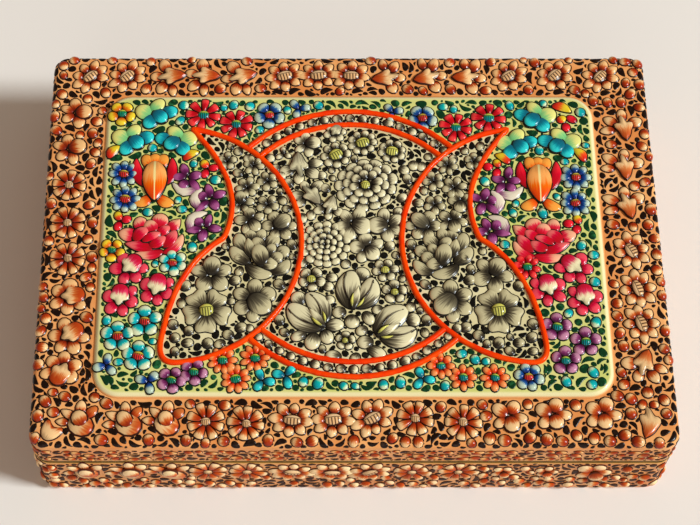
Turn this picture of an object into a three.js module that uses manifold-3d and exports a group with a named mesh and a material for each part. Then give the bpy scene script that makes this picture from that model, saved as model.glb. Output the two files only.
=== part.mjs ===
// A papier-mache trinket box with a lift-off lid.
// Two moulded shells, a card collar glued inside the base to guide the lid, and gesso relief
// laid on every outside face: a floral border, a raised field with a garden of flowers,
// a moon disc and two crescents edged by raised cords.
// Millimetres, +Z up, +X along the long side, origin at the middle of the underside.

import * as THREE from "three";
import { mergeVertices } from "three/addons/utils/BufferGeometryUtils.js";
import Module from "manifold-3d";

const wasm = await Module();
wasm.setup();

// Overall form
const boxWidth = 254;
const boxDepth = 178;
const baseHeight = 31.5;
const lidHeight = 17.5;
const seamGap = 0.3;
const cornerRadius = 6.5;

// Moulded shells
const wallThickness = 5;
const floorThickness = 4.5;
const lidTopThickness = 4.5;
const topEdgeRound = 2.4;
const rimRound = 0.5;
const footRound = 1;

// Gesso coat that carries the relief
const coatThickness = 0.6;
const mitreGap = 0.3;

// Card collar, glued inside the base
const collarThickness = 2.2;
const collarRise = 8;
const collarClearance = 0.4;
const collarTopRound = 0.6;
const seatDepth = 0.5; // the strips stand in a rebate round the tray's floor
const seatGap = 0.3;

// Raised field on the lid
const sideBorderWidth = 23.5;
const endBorderWidth = 20;
const fieldRise = 1;
const fieldCorner = 11;
const fieldBevel = 1.7;
const groundThickness = 0.4;
const groundGap = 0.3;
const groundMargin = 0.6;

// Moon disc, crescents and the cords that edge them
const ringMargin = 8.5;
const ringSpacing = 6.4;
const crescentMargin = 15.5;
const crescentInset = 29.5;
const crescentDrop = 1;
const cordRadius = 1.15;
const cordSink = 0.35;
const cordGap = 0.3;

// Relief flowers
const borderPitch = 16.8;
const borderRunClearance = 5;
const borderFlowerRadius = 7.2;
const wallRowDrop = 10.5;
const roseRadius = 11.5;
const rosetteRadius = 11;
const tulipRadius = 9;
const pansyRadius = 7.8;
const daisyRadius = 6.8;
const fivePetalRadius = 6.8;
const petalRise = 1.1;
const reliefRoom = 4;

// Faceting
const leastRadius = 0.4;
const cornerSteps = 4;
const edgeSteps = 3;
const bevelSteps = 4;
const cordSides = 5;
const knobSides = 6;
const cordStep = 6.5;

const half = (size) => size / 2;
const mirrored = [-1, 1];

// Heights worked out from the driving sizes
const lidRim = baseHeight + seamGap;
const lidTop = lidRim + lidHeight;
const shellTop = lidTop - coatThickness;
const lidCeiling = shellTop - lidTopThickness;
const fieldTop = lidTop + fieldRise;
const groundTop = fieldTop + groundThickness;
const innerInset = coatThickness + wallThickness;
const collarInset = innerInset + collarClearance;
const seatHeight = floorThickness - seatDepth;
const fieldWidth = boxWidth - 2 * sideBorderWidth;
const fieldDepth = boxDepth - 2 * endBorderWidth;
const groundWidth = fieldWidth - 2 * (fieldBevel + groundMargin);
const groundDepth = fieldDepth - 2 * (fieldBevel + groundMargin);
const ringRadius = half(fieldDepth) - ringMargin;
const moonRadius = ringRadius - ringSpacing;
const crescentRadius = half(fieldDepth) - crescentMargin;
const crescentCentreX = half(fieldWidth) - crescentInset;

const finishes = {
  blackLacquer: { color: 0x16110f, roughness: 0.3, metalness: 0 },
  gildedCard: { color: 0x8a6a2c, roughness: 0.45, metalness: 0.3 },
  borderGesso: { color: 0xd98f58, roughness: 0.3, metalness: 0 },
  fieldBoard: { color: 0xe6dfa8, roughness: 0.3, metalness: 0 },
  gardenGesso: { color: 0xc9cf7e, roughness: 0.3, metalness: 0 },
  moonGesso: { color: 0xd9d0a8, roughness: 0.3, metalness: 0 },
  cordGesso: { color: 0xee4411, roughness: 0.25, metalness: 0 },
};

// Turns a closed three.js geometry into a solid that can be joined and cut.
function solidOf(geometry) {
  const bare = geometry.index ? geometry.toNonIndexed() : geometry.clone();
  bare.deleteAttribute("normal");
  bare.deleteAttribute("uv");
  const merged = mergeVertices(bare, 1e-4);
  return new wasm.Manifold(
    new wasm.Mesh({
      numProp: 3,
      vertProperties: merged.attributes.position.array,
      triVerts: new Uint32Array(merged.index.array),
    }),
  );
}

function geometryOf(solid) {
  const mesh = solid.getMesh();
  const geometry = new THREE.BufferGeometry();
  geometry.setAttribute("position", new THREE.BufferAttribute(mesh.vertProperties, 3));
  geometry.setIndex(new THREE.BufferAttribute(mesh.triVerts, 1));
  geometry.computeVertexNormals();
  return geometry;
}

const joined = (solids) => solids.reduce((whole, next) => whole.add(next));

function meshOf(name, solid, finish) {
  const mesh = new THREE.Mesh(geometryOf(solid), new THREE.MeshStandardMaterial(finishes[finish]));
  mesh.name = name;
  return mesh;
}

// Corners of a rounded rectangle, counter-clockwise, with the same count for every size.
function roundedOutline(width, depth, radius) {
  const points = [];
  const centres = [[1, 1], [-1, 1], [-1, -1], [1, -1]];
  centres.forEach(([sx, sy], quarter) => {
    for (let step = 0; step <= cornerSteps; step += 1) {
      const angle = (quarter + step / cornerSteps) * (Math.PI / 2);
      points.push(new THREE.Vector2(
        sx * (half(width) - radius) + radius * Math.cos(angle),
        sy * (half(depth) - radius) + radius * Math.sin(angle),
      ));
    }
  });
  return points;
}

// Skins a stack of level outlines, each with its height, and closes both ends.
function loft(levels) {
  const count = levels[0].outline.length;
  const corners = levels.flatMap(({ outline, z }) => outline.flatMap((p) => [p.x, p.y, z]));
  const faces = [];
  for (let level = 0; level + 1 < levels.length; level += 1) {
    for (let i = 0; i < count; i += 1) {
      const [a, b] = [level * count + i, level * count + ((i + 1) % count)];
      faces.push(a, b, b + count, a, b + count, a + count);
    }
  }
  const last = (levels.length - 1) * count;
  for (let i = 1; i + 1 < count; i += 1) {
    faces.push(0, i + 1, i, last, last + i, last + i + 1);
  }
  const geometry = new THREE.BufferGeometry();
  geometry.setAttribute("position", new THREE.Float32BufferAttribute(corners, 3));
  geometry.setIndex(faces);
  return solidOf(geometry);
}

// The box outline moved inwards by an inset, at a height.
function boxLevel(inset, z) {
  const radius = Math.max(cornerRadius - inset, leastRadius);
  return { outline: roundedOutline(boxWidth - 2 * inset, boxDepth - 2 * inset, radius), z };
}

const boxPrism = (inset, low, high) => loft([boxLevel(inset, low), boxLevel(inset, high)]);

// A quarter round at the end of a wall: levels from the wall's face to the flat beyond it.
function roundedEdge(inset, z, radius, upwards) {
  const levels = [];
  for (let step = 0; step <= edgeSteps; step += 1) {
    const angle = (step / edgeSteps) * (Math.PI / 2);
    levels.push(boxLevel(
      inset + radius * (1 - Math.cos(angle)),
      z + (upwards ? 1 : -1) * radius * (Math.sin(angle) - 1),
    ));
  }
  return upwards ? levels : levels.reverse();
}

// The lid's outside as one body, shrunk on its top and sides by a skin's thickness.
function lidForm(skin) {
  return loft([
    boxLevel(skin + rimRound, lidRim),
    boxLevel(skin, lidRim + rimRound),
    ...roundedEdge(skin, lidTop - skin, topEdgeRound - skin, true),
  ]);
}

// The base's outside as one body, shrunk on its sides only.
function baseForm(skin) {
  return loft([
    ...roundedEdge(skin, 0, footRound, false),
    boxLevel(skin, baseHeight - rimRound),
    boxLevel(skin + rimRound, baseHeight),
  ]);
}

function extrudedOutline(points, low, high) {
  const geometry = new THREE.ExtrudeGeometry(new THREE.Shape(points), {
    depth: high - low,
    bevelEnabled: false,
  });
  geometry.translate(0, 0, low);
  return solidOf(geometry);
}

// Four wedges that meet on the mitre lines from the box's corners.
function mitreWedge(side) {
  const reach = 2 * cornerRadius;
  const [w, d, g] = [half(boxWidth) + reach, half(boxDepth) + reach, mitreGap / Math.SQRT2];
  const ridge = w - d;
  const wedges = {
    front: [[-w + g, -d], [w - g, -d], [ridge, -g], [-ridge, -g]],
    back: [[w - g, d], [-w + g, d], [-ridge, g], [ridge, g]],
    left: [[-w, d - g], [-w, -d + g], [-ridge - g, 0]],
    right: [[w, -d + g], [w, d - g], [ridge + g, 0]],
  };
  const points = wedges[side].map(([x, y]) => new THREE.Vector2(x, y));
  return extrudedOutline(points, -reach, lidTop + reach);
}

// Shells

function baseShell() {
  const seatInset = collarInset + collarThickness + seatGap;
  const tray = boxPrism(innerInset, seatHeight, baseHeight + 1);
  const floor = boxPrism(seatInset, seatHeight - 1, floorThickness);
  return baseForm(coatThickness).subtract(tray.subtract(floor));
}

function lidShell() {
  return lidForm(coatThickness).subtract(boxPrism(innerInset, lidRim - 1, lidCeiling));
}

// One strip of the card collar, mitred at both ends.
function collarStrip(side) {
  const top = baseHeight + collarRise;
  const outer = loft([
    boxLevel(collarInset, seatHeight),
    ...roundedEdge(collarInset, top, collarTopRound, true),
  ]);
  const inner = boxPrism(collarInset + collarThickness, seatHeight - 1, top + 1);
  return outer.subtract(inner).intersect(mitreWedge(side));
}

// Raised field board, with a soft bevel that ends on the border

const fieldLevel = (inset, z) => ({
  outline: roundedOutline(
    fieldWidth - 2 * inset,
    fieldDepth - 2 * inset,
    Math.max(fieldCorner - inset, leastRadius),
  ),
  z,
});

function fieldBoard() {
  const levels = [fieldLevel(0, shellTop)];
  for (let step = 0; step <= bevelSteps; step += 1) {
    const share = step / bevelSteps;
    const rise = half(1 - Math.cos(Math.PI * share));
    levels.push(fieldLevel(fieldBevel * share, lidTop + fieldRise * rise));
  }
  return loft(levels);
}

// Moon disc and crescents, as outlines on the field

function circlePoints(x, y, radius, steps) {
  return new THREE.Path().absarc(x, y, radius, 0, 2 * Math.PI).getPoints(steps).slice(0, -1);
}

// The curves round one crescent. Points are multiples of its belly radius from the belly's centre.
const crescentShape = {
  tipAngle: THREE.MathUtils.degToRad(82),
  heelAngle: THREE.MathUtils.degToRad(-87),
  heelEnd: [-0.052, -0.84],
  heelPull: [-0.065, -1],
  kink: [0.402, 0.028],
  backPull: [0.031, -0.21],
  hornPull: [0.607, 0.464],
};

function crescentPoint([x, y], side) {
  const acrossFromCentre = -crescentCentreX + x * crescentRadius;
  return new THREE.Vector2(-side * acrossFromCentre, -crescentDrop + y * crescentRadius);
}

// The crescent's three open curves: its belly, its back and its horn. side is -1 left, 1 right.
function crescentCurves(side) {
  const { tipAngle, heelAngle } = crescentShape;
  const onBelly = (angle) => crescentPoint([Math.cos(angle), Math.sin(angle)], side);
  const at = (name) => crescentPoint(crescentShape[name], side);
  const belly = new THREE.EllipseCurve(
    side * crescentCentreX,
    -crescentDrop,
    crescentRadius,
    crescentRadius,
    side < 0 ? tipAngle : Math.PI - tipAngle,
    side < 0 ? heelAngle : Math.PI - heelAngle,
    side < 0,
  );
  return [
    belly,
    new THREE.QuadraticBezierCurve(onBelly(heelAngle), at("heelPull"), at("heelEnd")),
    new THREE.QuadraticBezierCurve(at("heelEnd"), at("backPull"), at("kink")),
    new THREE.QuadraticBezierCurve(at("kink"), at("hornPull"), onBelly(tipAngle)),
  ];
}

function crescentOutline(side) {
  const points = crescentCurves(side).flatMap((curve) => {
    const steps = Math.max(3, Math.round(curve.getLength() / cordStep));
    return curve.getPoints(steps).slice(0, -1);
  });
  return side < 0 ? points.reverse() : points;
}

// Moves each corner of a counter-clockwise outline inwards along its own normal.
function insetOutline(points, inset) {
  return points.map((point, i) => {
    const before = points[(i + points.length - 1) % points.length];
    const after = points[(i + 1) % points.length];
    const along = after.clone().sub(before).normalize();
    return new THREE.Vector2(point.x - along.y * inset, point.y + along.x * inset);
  });
}

const ringSteps = Math.round((2 * Math.PI * ringRadius) / cordStep);

const disc = (x, y, radius, low, high) =>
  extrudedOutline(circlePoints(x, y, radius, ringSteps), low, high);

// Both belly circles, which bound the moon on its left and right.
const bellyDiscs = (grown, low, high) => joined(mirrored.map((side) =>
  disc(side * crescentCentreX, -crescentDrop, crescentRadius + grown, low, high)));

const moonRegion = (low, high) =>
  disc(0, 0, ringRadius, low, high).subtract(bellyDiscs(groundGap, low, high));

const crescentRegion = (side, low, high) =>
  extrudedOutline(insetOutline(crescentOutline(side), groundGap), low, high);

// The field's ground without the moon and the crescents.
function gardenRegion(low, high) {
  const corner = fieldCorner - fieldBevel - groundMargin;
  const outline = roundedOutline(groundWidth, groundDepth, corner);
  const moonHole = disc(0, 0, ringRadius + groundGap, low, high);
  const crescents = mirrored.map((side) => extrudedOutline(crescentOutline(side), low, high));
  return loft([{ outline, z: low }, { outline, z: high }])
    .subtract(moonHole.subtract(bellyDiscs(-groundGap, low, high)))
    .subtract(joined(crescents));
}

// Raised cords: half-round beads that lie flat on the ground

// Section of a bead as [height, sideways] points, from one foot over the crown to the other.
function beadSection(radius) {
  const foot = -Math.asin(cordSink / radius);
  return [...Array(cordSides).keys()].map((i) => {
    const angle = foot + (i / (cordSides - 1)) * (Math.PI - 2 * foot);
    return [radius * Math.sin(angle) + cordSink, radius * Math.cos(angle)];
  });
}

// A dome that rounds off a bead's end or corner.
function beadKnob(radius, x, y) {
  const flank = beadSection(radius).filter(([, sideways]) => sideways > 0);
  const crown = radius + cordSink;
  const profile = [[0, 0], ...flank.map(([height, sideways]) => [sideways, height]), [0, crown]];
  const knob = new THREE.LatheGeometry(profile.map(([r, h]) => new THREE.Vector2(r, h)), knobSides);
  return solidOf(knob.rotateX(Math.PI / 2).translate(x, y, groundTop));
}

// The extrusion lays its section's x axis along -Z, so heights are negated.
function beadRun(curve, radius) {
  const steps = Math.max(2, Math.round(curve.getLength() / cordStep));
  const points = curve.getSpacedPoints(steps).map((p) => new THREE.Vector3(p.x, p.y, groundTop));
  const section = new THREE.Shape(
    beadSection(radius).map(([height, sideways]) => new THREE.Vector2(-height, sideways)),
  );
  const path = new THREE.CatmullRomCurve3(points);
  return solidOf(new THREE.ExtrudeGeometry(section, { steps, extrudePath: path }));
}

function bead(curves, radius = cordRadius) {
  return joined(curves.flatMap((curve) => {
    const [first, last] = [curve.getPoint(0), curve.getPoint(1)];
    return [
      beadRun(curve, radius),
      beadKnob(radius, first.x, first.y),
      beadKnob(radius, last.x, last.y),
    ];
  }));
}

// The arc of a ring between the crescents' cords, at the back (+1) or the front (-1).
function ringArc(radius, end) {
  const centre = new THREE.Vector2(crescentCentreX, -crescentDrop);
  const apart = centre.length();
  const reach = crescentRadius + 2 * cordRadius + cordGap;
  const cosine = (apart ** 2 + radius ** 2 - reach ** 2) / (2 * apart * radius);
  const fromCentre = Math.acos(cosine);
  const tilt = Math.atan2(crescentDrop, crescentCentreX);
  const start = end > 0 ? fromCentre - tilt : -fromCentre - tilt;
  return new THREE.EllipseCurve(0, 0, radius, radius, start, end * Math.PI - start, end < 0);
}

// Relief flowers

// Skins rings of equal counts up to one peak and closes the underside.
function domeOf(rings, peak) {
  const around = rings[0].length;
  const apex = rings.length * around;
  const faces = [];
  for (let i = 0; i < around; i += 1) {
    const next = (i + 1) % around;
    for (let start = 0; start + around < apex; start += around) {
      const [a, b] = [start + i, start + next];
      faces.push(a, b, b + around, a, b + around, a + around);
    }
    faces.push(apex - around + i, apex - around + next, apex);
  }
  for (let i = 1; i + 1 < around; i += 1) {
    faces.push(0, i + 1, i);
  }
  const geometry = new THREE.BufferGeometry();
  const corners = [...rings.flat(), peak].flat();
  geometry.setAttribute("position", new THREE.Float32BufferAttribute(corners, 3));
  geometry.setIndex(faces);
  return geometry;
}

// Where a dome's shoulder ring lies and how high it and the flower's low parts stand,
// as shares of its outline and of its rise.
const petalShoulder = { at: 0.75, height: 0.7 };
const blossomShoulder = { at: 0.8, height: 1, inCleft: 0.2, inMiddle: 0.4 };

// One petal: a low dome over an oval outline, from its root at the origin towards +X.
function petal({ length, width, rise = petalRise, around = 6 }) {
  const middle = half(length);
  const ring = (share, z) => [...Array(around).keys()].map((i) => {
    const angle = (i / around) * 2 * Math.PI;
    return [middle * (1 + share * Math.cos(angle)), share * half(width) * Math.sin(angle), z];
  });
  const shoulder = ring(petalShoulder.at, petalShoulder.height * rise);
  return domeOf([ring(1, 0), shoulder], [middle, 0, rise]);
}

// A whole flower head: lobes with clefts between them, cupped towards the middle.
// A round lobe has two outer points and a pointed one has a single tip.
function blossom({ petals, radius, cleft, pointed = false, rise = petalRise, turn = 0 }) {
  const lobe = pointed ? [1 - cleft, 1] : [1 - cleft, 1, 1];
  const around = lobe.length * petals;
  const ring = (share, z, cleftZ) => [...Array(around).keys()].map((i) => {
    const angle = turn + (i / around) * 2 * Math.PI;
    const reach = share * radius * lobe[i % lobe.length];
    const inCleft = i % lobe.length === 0;
    return [reach * Math.cos(angle), reach * Math.sin(angle), inCleft ? cleftZ : z];
  });
  const { at, height, inCleft, inMiddle } = blossomShoulder;
  return domeOf([ring(1, 0, 0), ring(at, height * rise, inCleft * rise)], [0, 0, inMiddle * rise]);
}

const button = (radius, rise) =>
  petal({ length: 2 * radius, width: 2 * radius, rise, around: 5 }).translate(-radius, 0, 0);

// One tulip petal, standing on the stalk end of the flower and leaning to a side by an angle.
const tulipPetal = (radius, lean, { length, width, rise }) =>
  petal({ length: length * radius, width: width * radius, rise: rise * petalRise })
    .rotateZ(Math.PI / 2 + lean)
    .translate(0, -tulipShape.foot * radius, 0);

// Sizes as shares of the flower's radius, and rises as shares of a petal's.
const tulipShape = {
  lean: 0.6,
  foot: 0.9,
  side: { length: 1.5, width: 0.62, rise: 1 },
  middle: { length: 1.8, width: 1, rise: 1.6 },
};

const heads = {
  fivePetal: (radius) => [
    blossom({ petals: 5, radius, cleft: 0.5 }),
  ],
  rosette: (radius) => [
    blossom({ petals: 6, radius, cleft: 0.34 }),
  ],
  daisy: (radius) => [
    blossom({ petals: 8, radius, cleft: 0.4, pointed: true }),
  ],
  pansy: (radius) => [
    blossom({ petals: 4, radius, cleft: 0.42, turn: 0.5 }),
    button(0.42 * radius, 1.3 * petalRise),
  ],
  rose: (radius) => [
    blossom({ petals: 7, radius, cleft: 0.2 }),
    blossom({ petals: 5, radius: 0.62 * radius, cleft: 0.25, rise: 1.7 * petalRise }),
    button(0.28 * radius, 2 * petalRise),
  ],
  tulip: (radius) => [
    tulipPetal(radius, -tulipShape.lean, tulipShape.side),
    tulipPetal(radius, tulipShape.lean, tulipShape.side),
    tulipPetal(radius, 0, tulipShape.middle),
  ],
};

const bloomRadii = {
  fivePetal: fivePetalRadius,
  rosette: rosetteRadius,
  daisy: daisyRadius,
  pansy: pansyRadius,
  rose: roseRadius,
  tulip: tulipRadius,
};

const flowerSolids = (kind, radius, place) => heads[kind](radius).map((g) => solidOf(place(g)));

// Flowers of the garden, as [kind, share of half width, share of half depth].
const gardenFlowers = [
  ["rose", 0.8, 0.02],
  ["tulip", 0.79, 0.4],
  ["pansy", 0.8, 0.86],
  ["pansy", 0.91, 0.67],
  ["pansy", 0.71, 0.66],
  ["daisy", 0.6, 0.87],
  ["daisy", 0.45, 0.82],
  ["fivePetal", 0.93, 0.38],
  ["fivePetal", 0.62, 0.16],
  ["fivePetal", 0.9, -0.24],
  ["pansy", 0.82, -0.5],
  ["fivePetal", 0.93, -0.7],
  ["daisy", 0.84, -0.88],
  ["daisy", 0.52, -0.86],
];

// Flowers of the moon, as [kind, x, y] in shares of the moon's radius.
const moonFlowers = [
  ["rose", 0.06, 0.42],
  ["daisy", -0.16, 0.74],
  ["rosette", -0.14, -0.04],
  ["fivePetal", 0.22, -0.1],
  ["tulip", 0.02, -0.38],
  ["tulip", -0.33, -0.56],
  ["tulip", 0.34, -0.6],
];

// Flowers of one crescent, as [kind, x, y] in shares of its belly radius.
const crescentFlowers = [
  ["rose", 0.66, -0.06],
  ["rosette", 0.27, -0.61],
  ["fivePetal", 0.66, -0.5],
  ["fivePetal", 0.34, -0.24],
  ["daisy", 0.56, 0.5],
];

// The cords of the field, and the room that the flowers leave for them.
const cordRuns = {
  crescent_cord_left: crescentCurves(-1),
  crescent_cord_right: crescentCurves(1),
  ring_cord_front: [ringArc(ringRadius, -1)],
  ring_cord_back: [ringArc(ringRadius, 1)],
  moon_cord_front: [ringArc(moonRadius, -1)],
  moon_cord_back: [ringArc(moonRadius, 1)],
};
const cordRoom = joined(Object.values(cordRuns).map((curves) => bead(curves, cordRadius + cordGap)));

// A thin ground with its flowers, which stop at its edge and at the cords.
function reliefOn(region, blooms) {
  const room = region(fieldTop, groundTop + reliefRoom).subtract(cordRoom);
  return region(fieldTop, groundTop).add(joined(blooms).intersect(room));
}

const bloomsAt = (spots) => spots.flatMap(([kind, x, y]) =>
  flowerSolids(kind, bloomRadii[kind], (g) => g.translate(x, y, groundTop)));

function gardenRelief() {
  const [w, d] = [half(groundWidth), half(groundDepth)];
  const spots = gardenFlowers.flatMap(([kind, x, y]) =>
    mirrored.map((side) => [kind, side * x * w, y * d]));
  return reliefOn(gardenRegion, bloomsAt(spots));
}

function moonRelief() {
  const spots = moonFlowers.map(([kind, x, y]) => [kind, x * moonRadius, y * moonRadius]);
  return reliefOn(moonRegion, bloomsAt(spots));
}

function crescentRelief(side) {
  const region = (low, high) => crescentRegion(side, low, high);
  const spots = crescentFlowers.map(([kind, x, y]) => [kind, ...crescentPoint([x, y], side)]);
  return reliefOn(region, bloomsAt(spots));
}

// Border relief: a skin over the lid's border, its rounded edge and its wall,
// and a skin round the base, each in four mitred coats with a row of flowers

const borderKinds = {
  front: ["fivePetal", "daisy", "rosette", "daisy", "fivePetal"],
  back: ["rosette", "fivePetal", "rosette", "fivePetal", "rosette"],
  left: ["fivePetal", "daisy", "fivePetal"],
  right: ["fivePetal", "rosette", "fivePetal"],
};

// Turn of each side's outward direction from the front's.
const sideTurns = { front: 0, right: Math.PI / 2, back: Math.PI, left: -Math.PI / 2 };

const isLong = (side) => side === "front" || side === "back";

// Places along a run for flowers on the border's pitch, centred on the run.
function alongRun(run) {
  const count = Math.floor(run / borderPitch) + 1;
  return [...Array(count).keys()].map((i) => ({
    along: (i - half(count - 1)) * borderPitch,
    share: i / count,
  }));
}

// Flowers down the middle of one lid border, clear of its corners.
function borderFlowers(side) {
  const field = isLong(side) ? fieldWidth : fieldDepth;
  const ends = isLong(side) ? endBorderWidth : sideBorderWidth;
  const reach = half((isLong(side) ? boxDepth : boxWidth) - ends);
  return alongRun(field - borderRunClearance).flatMap(({ along, share }) => {
    const kind = borderKinds[side][Math.floor(share * borderKinds[side].length)];
    const place = (g) => g.translate(along, -reach, lidTop).rotateZ(sideTurns[side]);
    return flowerSolids(kind, borderFlowerRadius, place);
  });
}

// Flowers in a row round the base's wall, under the rim.
function wallFlowers(side) {
  const wall = isLong(side) ? boxWidth : boxDepth;
  const reach = half(isLong(side) ? boxDepth : boxWidth);
  return alongRun(wall - 2 * (cornerRadius + borderFlowerRadius)).flatMap(({ along }) => {
    const place = (g) => g.rotateX(Math.PI / 2)
      .translate(along, -reach, baseHeight - wallRowDrop)
      .rotateZ(sideTurns[side]);
    return flowerSolids("fivePetal", borderFlowerRadius, place);
  });
}

function lidRelief(side) {
  const fieldHole = loft([fieldLevel(-groundGap, shellTop - 1), fieldLevel(-groundGap, lidTop + 1)]);
  const skin = lidForm(0).subtract(lidForm(coatThickness)).subtract(fieldHole);
  return joined([skin.intersect(mitreWedge(side)), ...borderFlowers(side)]);
}

function baseRelief(side) {
  const skin = baseForm(0).subtract(baseForm(coatThickness));
  return joined([skin.intersect(mitreWedge(side)), ...wallFlowers(side)]);
}

// Assembly: the lid is one group, so that it lifts off as a whole

const sides = ["front", "back", "left", "right"];

const base = new THREE.Group();
base.add(meshOf("base_shell", baseShell(), "blackLacquer"));
for (const side of sides) {
  base.add(meshOf(`collar_${side}`, collarStrip(side), "gildedCard"));
  base.add(meshOf(`base_relief_${side}`, baseRelief(side), "borderGesso"));
}

const lid = new THREE.Group();
lid.add(meshOf("lid_shell", lidShell(), "blackLacquer"));
lid.add(meshOf("field_board", fieldBoard(), "fieldBoard"));
for (const side of sides) {
  lid.add(meshOf(`lid_relief_${side}`, lidRelief(side), "borderGesso"));
}
lid.add(meshOf("garden_relief", gardenRelief(), "gardenGesso"));
lid.add(meshOf("moon_relief", moonRelief(), "moonGesso"));
lid.add(meshOf("crescent_relief_left", crescentRelief(-1), "moonGesso"));
lid.add(meshOf("crescent_relief_right", crescentRelief(1), "moonGesso"));
for (const [name, curves] of Object.entries(cordRuns)) {
  lid.add(meshOf(name, bead(curves), "cordGesso"));
}

const trinketBox = new THREE.Group();
trinketBox.add(base, lid);

export default trinketBox;
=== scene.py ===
import math

import bpy
import numpy as np
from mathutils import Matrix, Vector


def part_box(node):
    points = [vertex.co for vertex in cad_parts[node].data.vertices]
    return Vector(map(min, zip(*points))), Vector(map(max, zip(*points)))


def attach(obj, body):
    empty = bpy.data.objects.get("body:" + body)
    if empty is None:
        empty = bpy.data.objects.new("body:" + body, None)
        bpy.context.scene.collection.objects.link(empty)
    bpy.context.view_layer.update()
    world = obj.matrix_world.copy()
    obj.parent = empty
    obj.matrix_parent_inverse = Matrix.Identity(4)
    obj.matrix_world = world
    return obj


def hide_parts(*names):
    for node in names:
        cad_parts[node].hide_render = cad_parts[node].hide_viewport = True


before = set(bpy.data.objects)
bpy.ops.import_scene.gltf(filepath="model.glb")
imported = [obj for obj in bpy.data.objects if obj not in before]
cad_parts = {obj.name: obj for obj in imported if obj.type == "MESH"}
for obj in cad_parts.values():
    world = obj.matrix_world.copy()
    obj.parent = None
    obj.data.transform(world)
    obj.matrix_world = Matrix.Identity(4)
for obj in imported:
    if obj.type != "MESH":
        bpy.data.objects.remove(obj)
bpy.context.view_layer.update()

# A papier-mache trinket box: flowers of raised gesso, painted and varnished, over a moulded box.
# Lengths are millimetres until a mesh is made, in the frame's own axes.
metresPerMm = 0.001
rng = np.random.default_rng(41)


def boxOf(node):
    low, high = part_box(node)
    return np.array(low) / metresPerMm, np.array(high) / metresPerMm


def paint(red, green, blue):
    # A paint as it is seen, 0 to 255 a channel, turned into the linear values of a shader.
    seen = np.array([red, green, blue]) / 255
    return tuple(np.where(seen < 0.04045, seen / 12.92, ((seen + 0.055) / 1.055) ** 2.4))


print("stage: sizes from the frame")
box = {
    "coat": 0.6,          # gesso over the shells
    "corner": 6.5,        # plan radius of the outside corners
    "edgeRound": 2.4,     # round between the lid's border and its wall
    "rimRound": 0.5,
    "footRound": 1.0,
    "fieldCorner": 11.0,
    "fieldBevel": 2.3,
    "cordRadius": 1.15,
    "cordSink": 0.35,
    "ground": 0.4,        # painted ground over the field board
}
baseHigh = boxOf("base_shell")[1]
lidLow, lidHigh = boxOf("lid_shell")
fieldHigh = boxOf("field_board")[1]
halfX = baseHigh[0] + box["coat"]
halfY = baseHigh[1] + box["coat"]
baseTop = baseHigh[2]
lidRim = lidLow[2]
lidTop = lidHigh[2] + box["coat"]
fieldX = fieldHigh[0]
fieldY = fieldHigh[1]
groundTop = fieldHigh[2] + box["ground"]
sideBorder = halfX - fieldX
endBorder = halfY - fieldY


# Mesh making


def meshPiece(name, points, faces, smooth=True):
    mesh = bpy.data.meshes.new(name)
    mesh.from_pydata((np.asarray(points).reshape(-1, 3) * metresPerMm).tolist(), [], faces)
    mesh.update()
    mesh.polygons.foreach_set("use_smooth", [smooth] * len(mesh.polygons))
    piece = bpy.data.objects.new(name, mesh)
    bpy.context.collection.objects.link(piece)
    return piece


def setPointValues(piece, name, values):
    attribute = piece.data.attributes.new(name, "FLOAT", "POINT")
    attribute.data.foreach_set("value", np.asarray(values, dtype=np.float32).ravel())


def setPointColours(piece, name, values):
    colours = np.ones((len(values), 4), dtype=np.float32)
    colours[:, :3] = values
    attribute = piece.data.attributes.new(name, "FLOAT_COLOR", "POINT")
    attribute.data.foreach_set("color", colours.ravel())


def setUv(piece, name, points):
    # points holds one UV for each vertex, and every face corner takes its vertex's.
    corner = np.empty(len(piece.data.loops), dtype=np.int64)
    piece.data.loops.foreach_get("vertex_index", corner)
    layer = piece.data.uv_layers.new(name=name)
    layer.data.foreach_set("uv", np.asarray(points, dtype=np.float32)[corner].ravel())


def bandFaces(rings, around, closed=True):
    # Quads between successive rings of equal counts, outer ring first, seen from above.
    ring, step = np.meshgrid(np.arange(rings - 1), np.arange(around - (not closed)), indexing="ij")
    after = (step + 1) % around
    first = ring * around
    quads = np.stack([first + step, first + after, first + around + after, first + around + step], -1)
    return quads.reshape(-1, 4)


def dress(piece, body, material, slot, *nodes):
    piece.data.materials.append(material)
    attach(piece, body)
    if nodes:
        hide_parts(*nodes)


# Where a relief lies: a flat sheet of x, y and height laid on the box


def roundedDistance(x, y, reachX, reachY, radius):
    # Distance outside a rounded rectangle, negative inside, with the outward direction.
    qx = np.abs(x) - (reachX - radius)
    qy = np.abs(y) - (reachY - radius)
    ox, oy = np.maximum(qx, 0), np.maximum(qy, 0)
    outside = np.hypot(ox, oy)
    distance = outside + np.minimum(np.maximum(qx, qy), 0) - radius
    far = np.maximum(outside, 1e-9)
    alongX = np.where(outside > 0, ox / far, qx > qy)
    alongY = np.where(outside > 0, oy / far, qx <= qy)
    return distance, alongX * np.sign(x), alongY * np.sign(y)


def onLid(x, y, height):
    # The border is flat up to the edge's round. Past that a point runs down the round and the
    # wall by as much as it lies outside, along the outward direction.
    r = box["edgeRound"]
    out, nx, ny = roundedDistance(x, y, halfX - r, halfY - r, box["corner"] - r)
    over = np.maximum(out, 0)
    angle = np.minimum(over / r, math.pi / 2)
    down = over - angle * r
    reach = (r + height) * np.sin(angle)
    z = lidTop - r + (r + height) * np.cos(angle) - down
    return np.stack([x + nx * (reach - over), y + ny * (reach - over), z], -1)


def onField(x, y, height):
    # The field is level.
    return np.stack([x, y, groundTop + height], -1)


straightX = 2 * (halfX - box["corner"])
straightY = 2 * (halfY - box["corner"])
quarterRun = box["corner"] * math.pi / 2
girth = 2 * (straightX + straightY) + 4 * quarterRun
sideStarts = np.cumsum([0, straightX, quarterRun, straightY, quarterRun, straightX, quarterRun, straightY])


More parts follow.
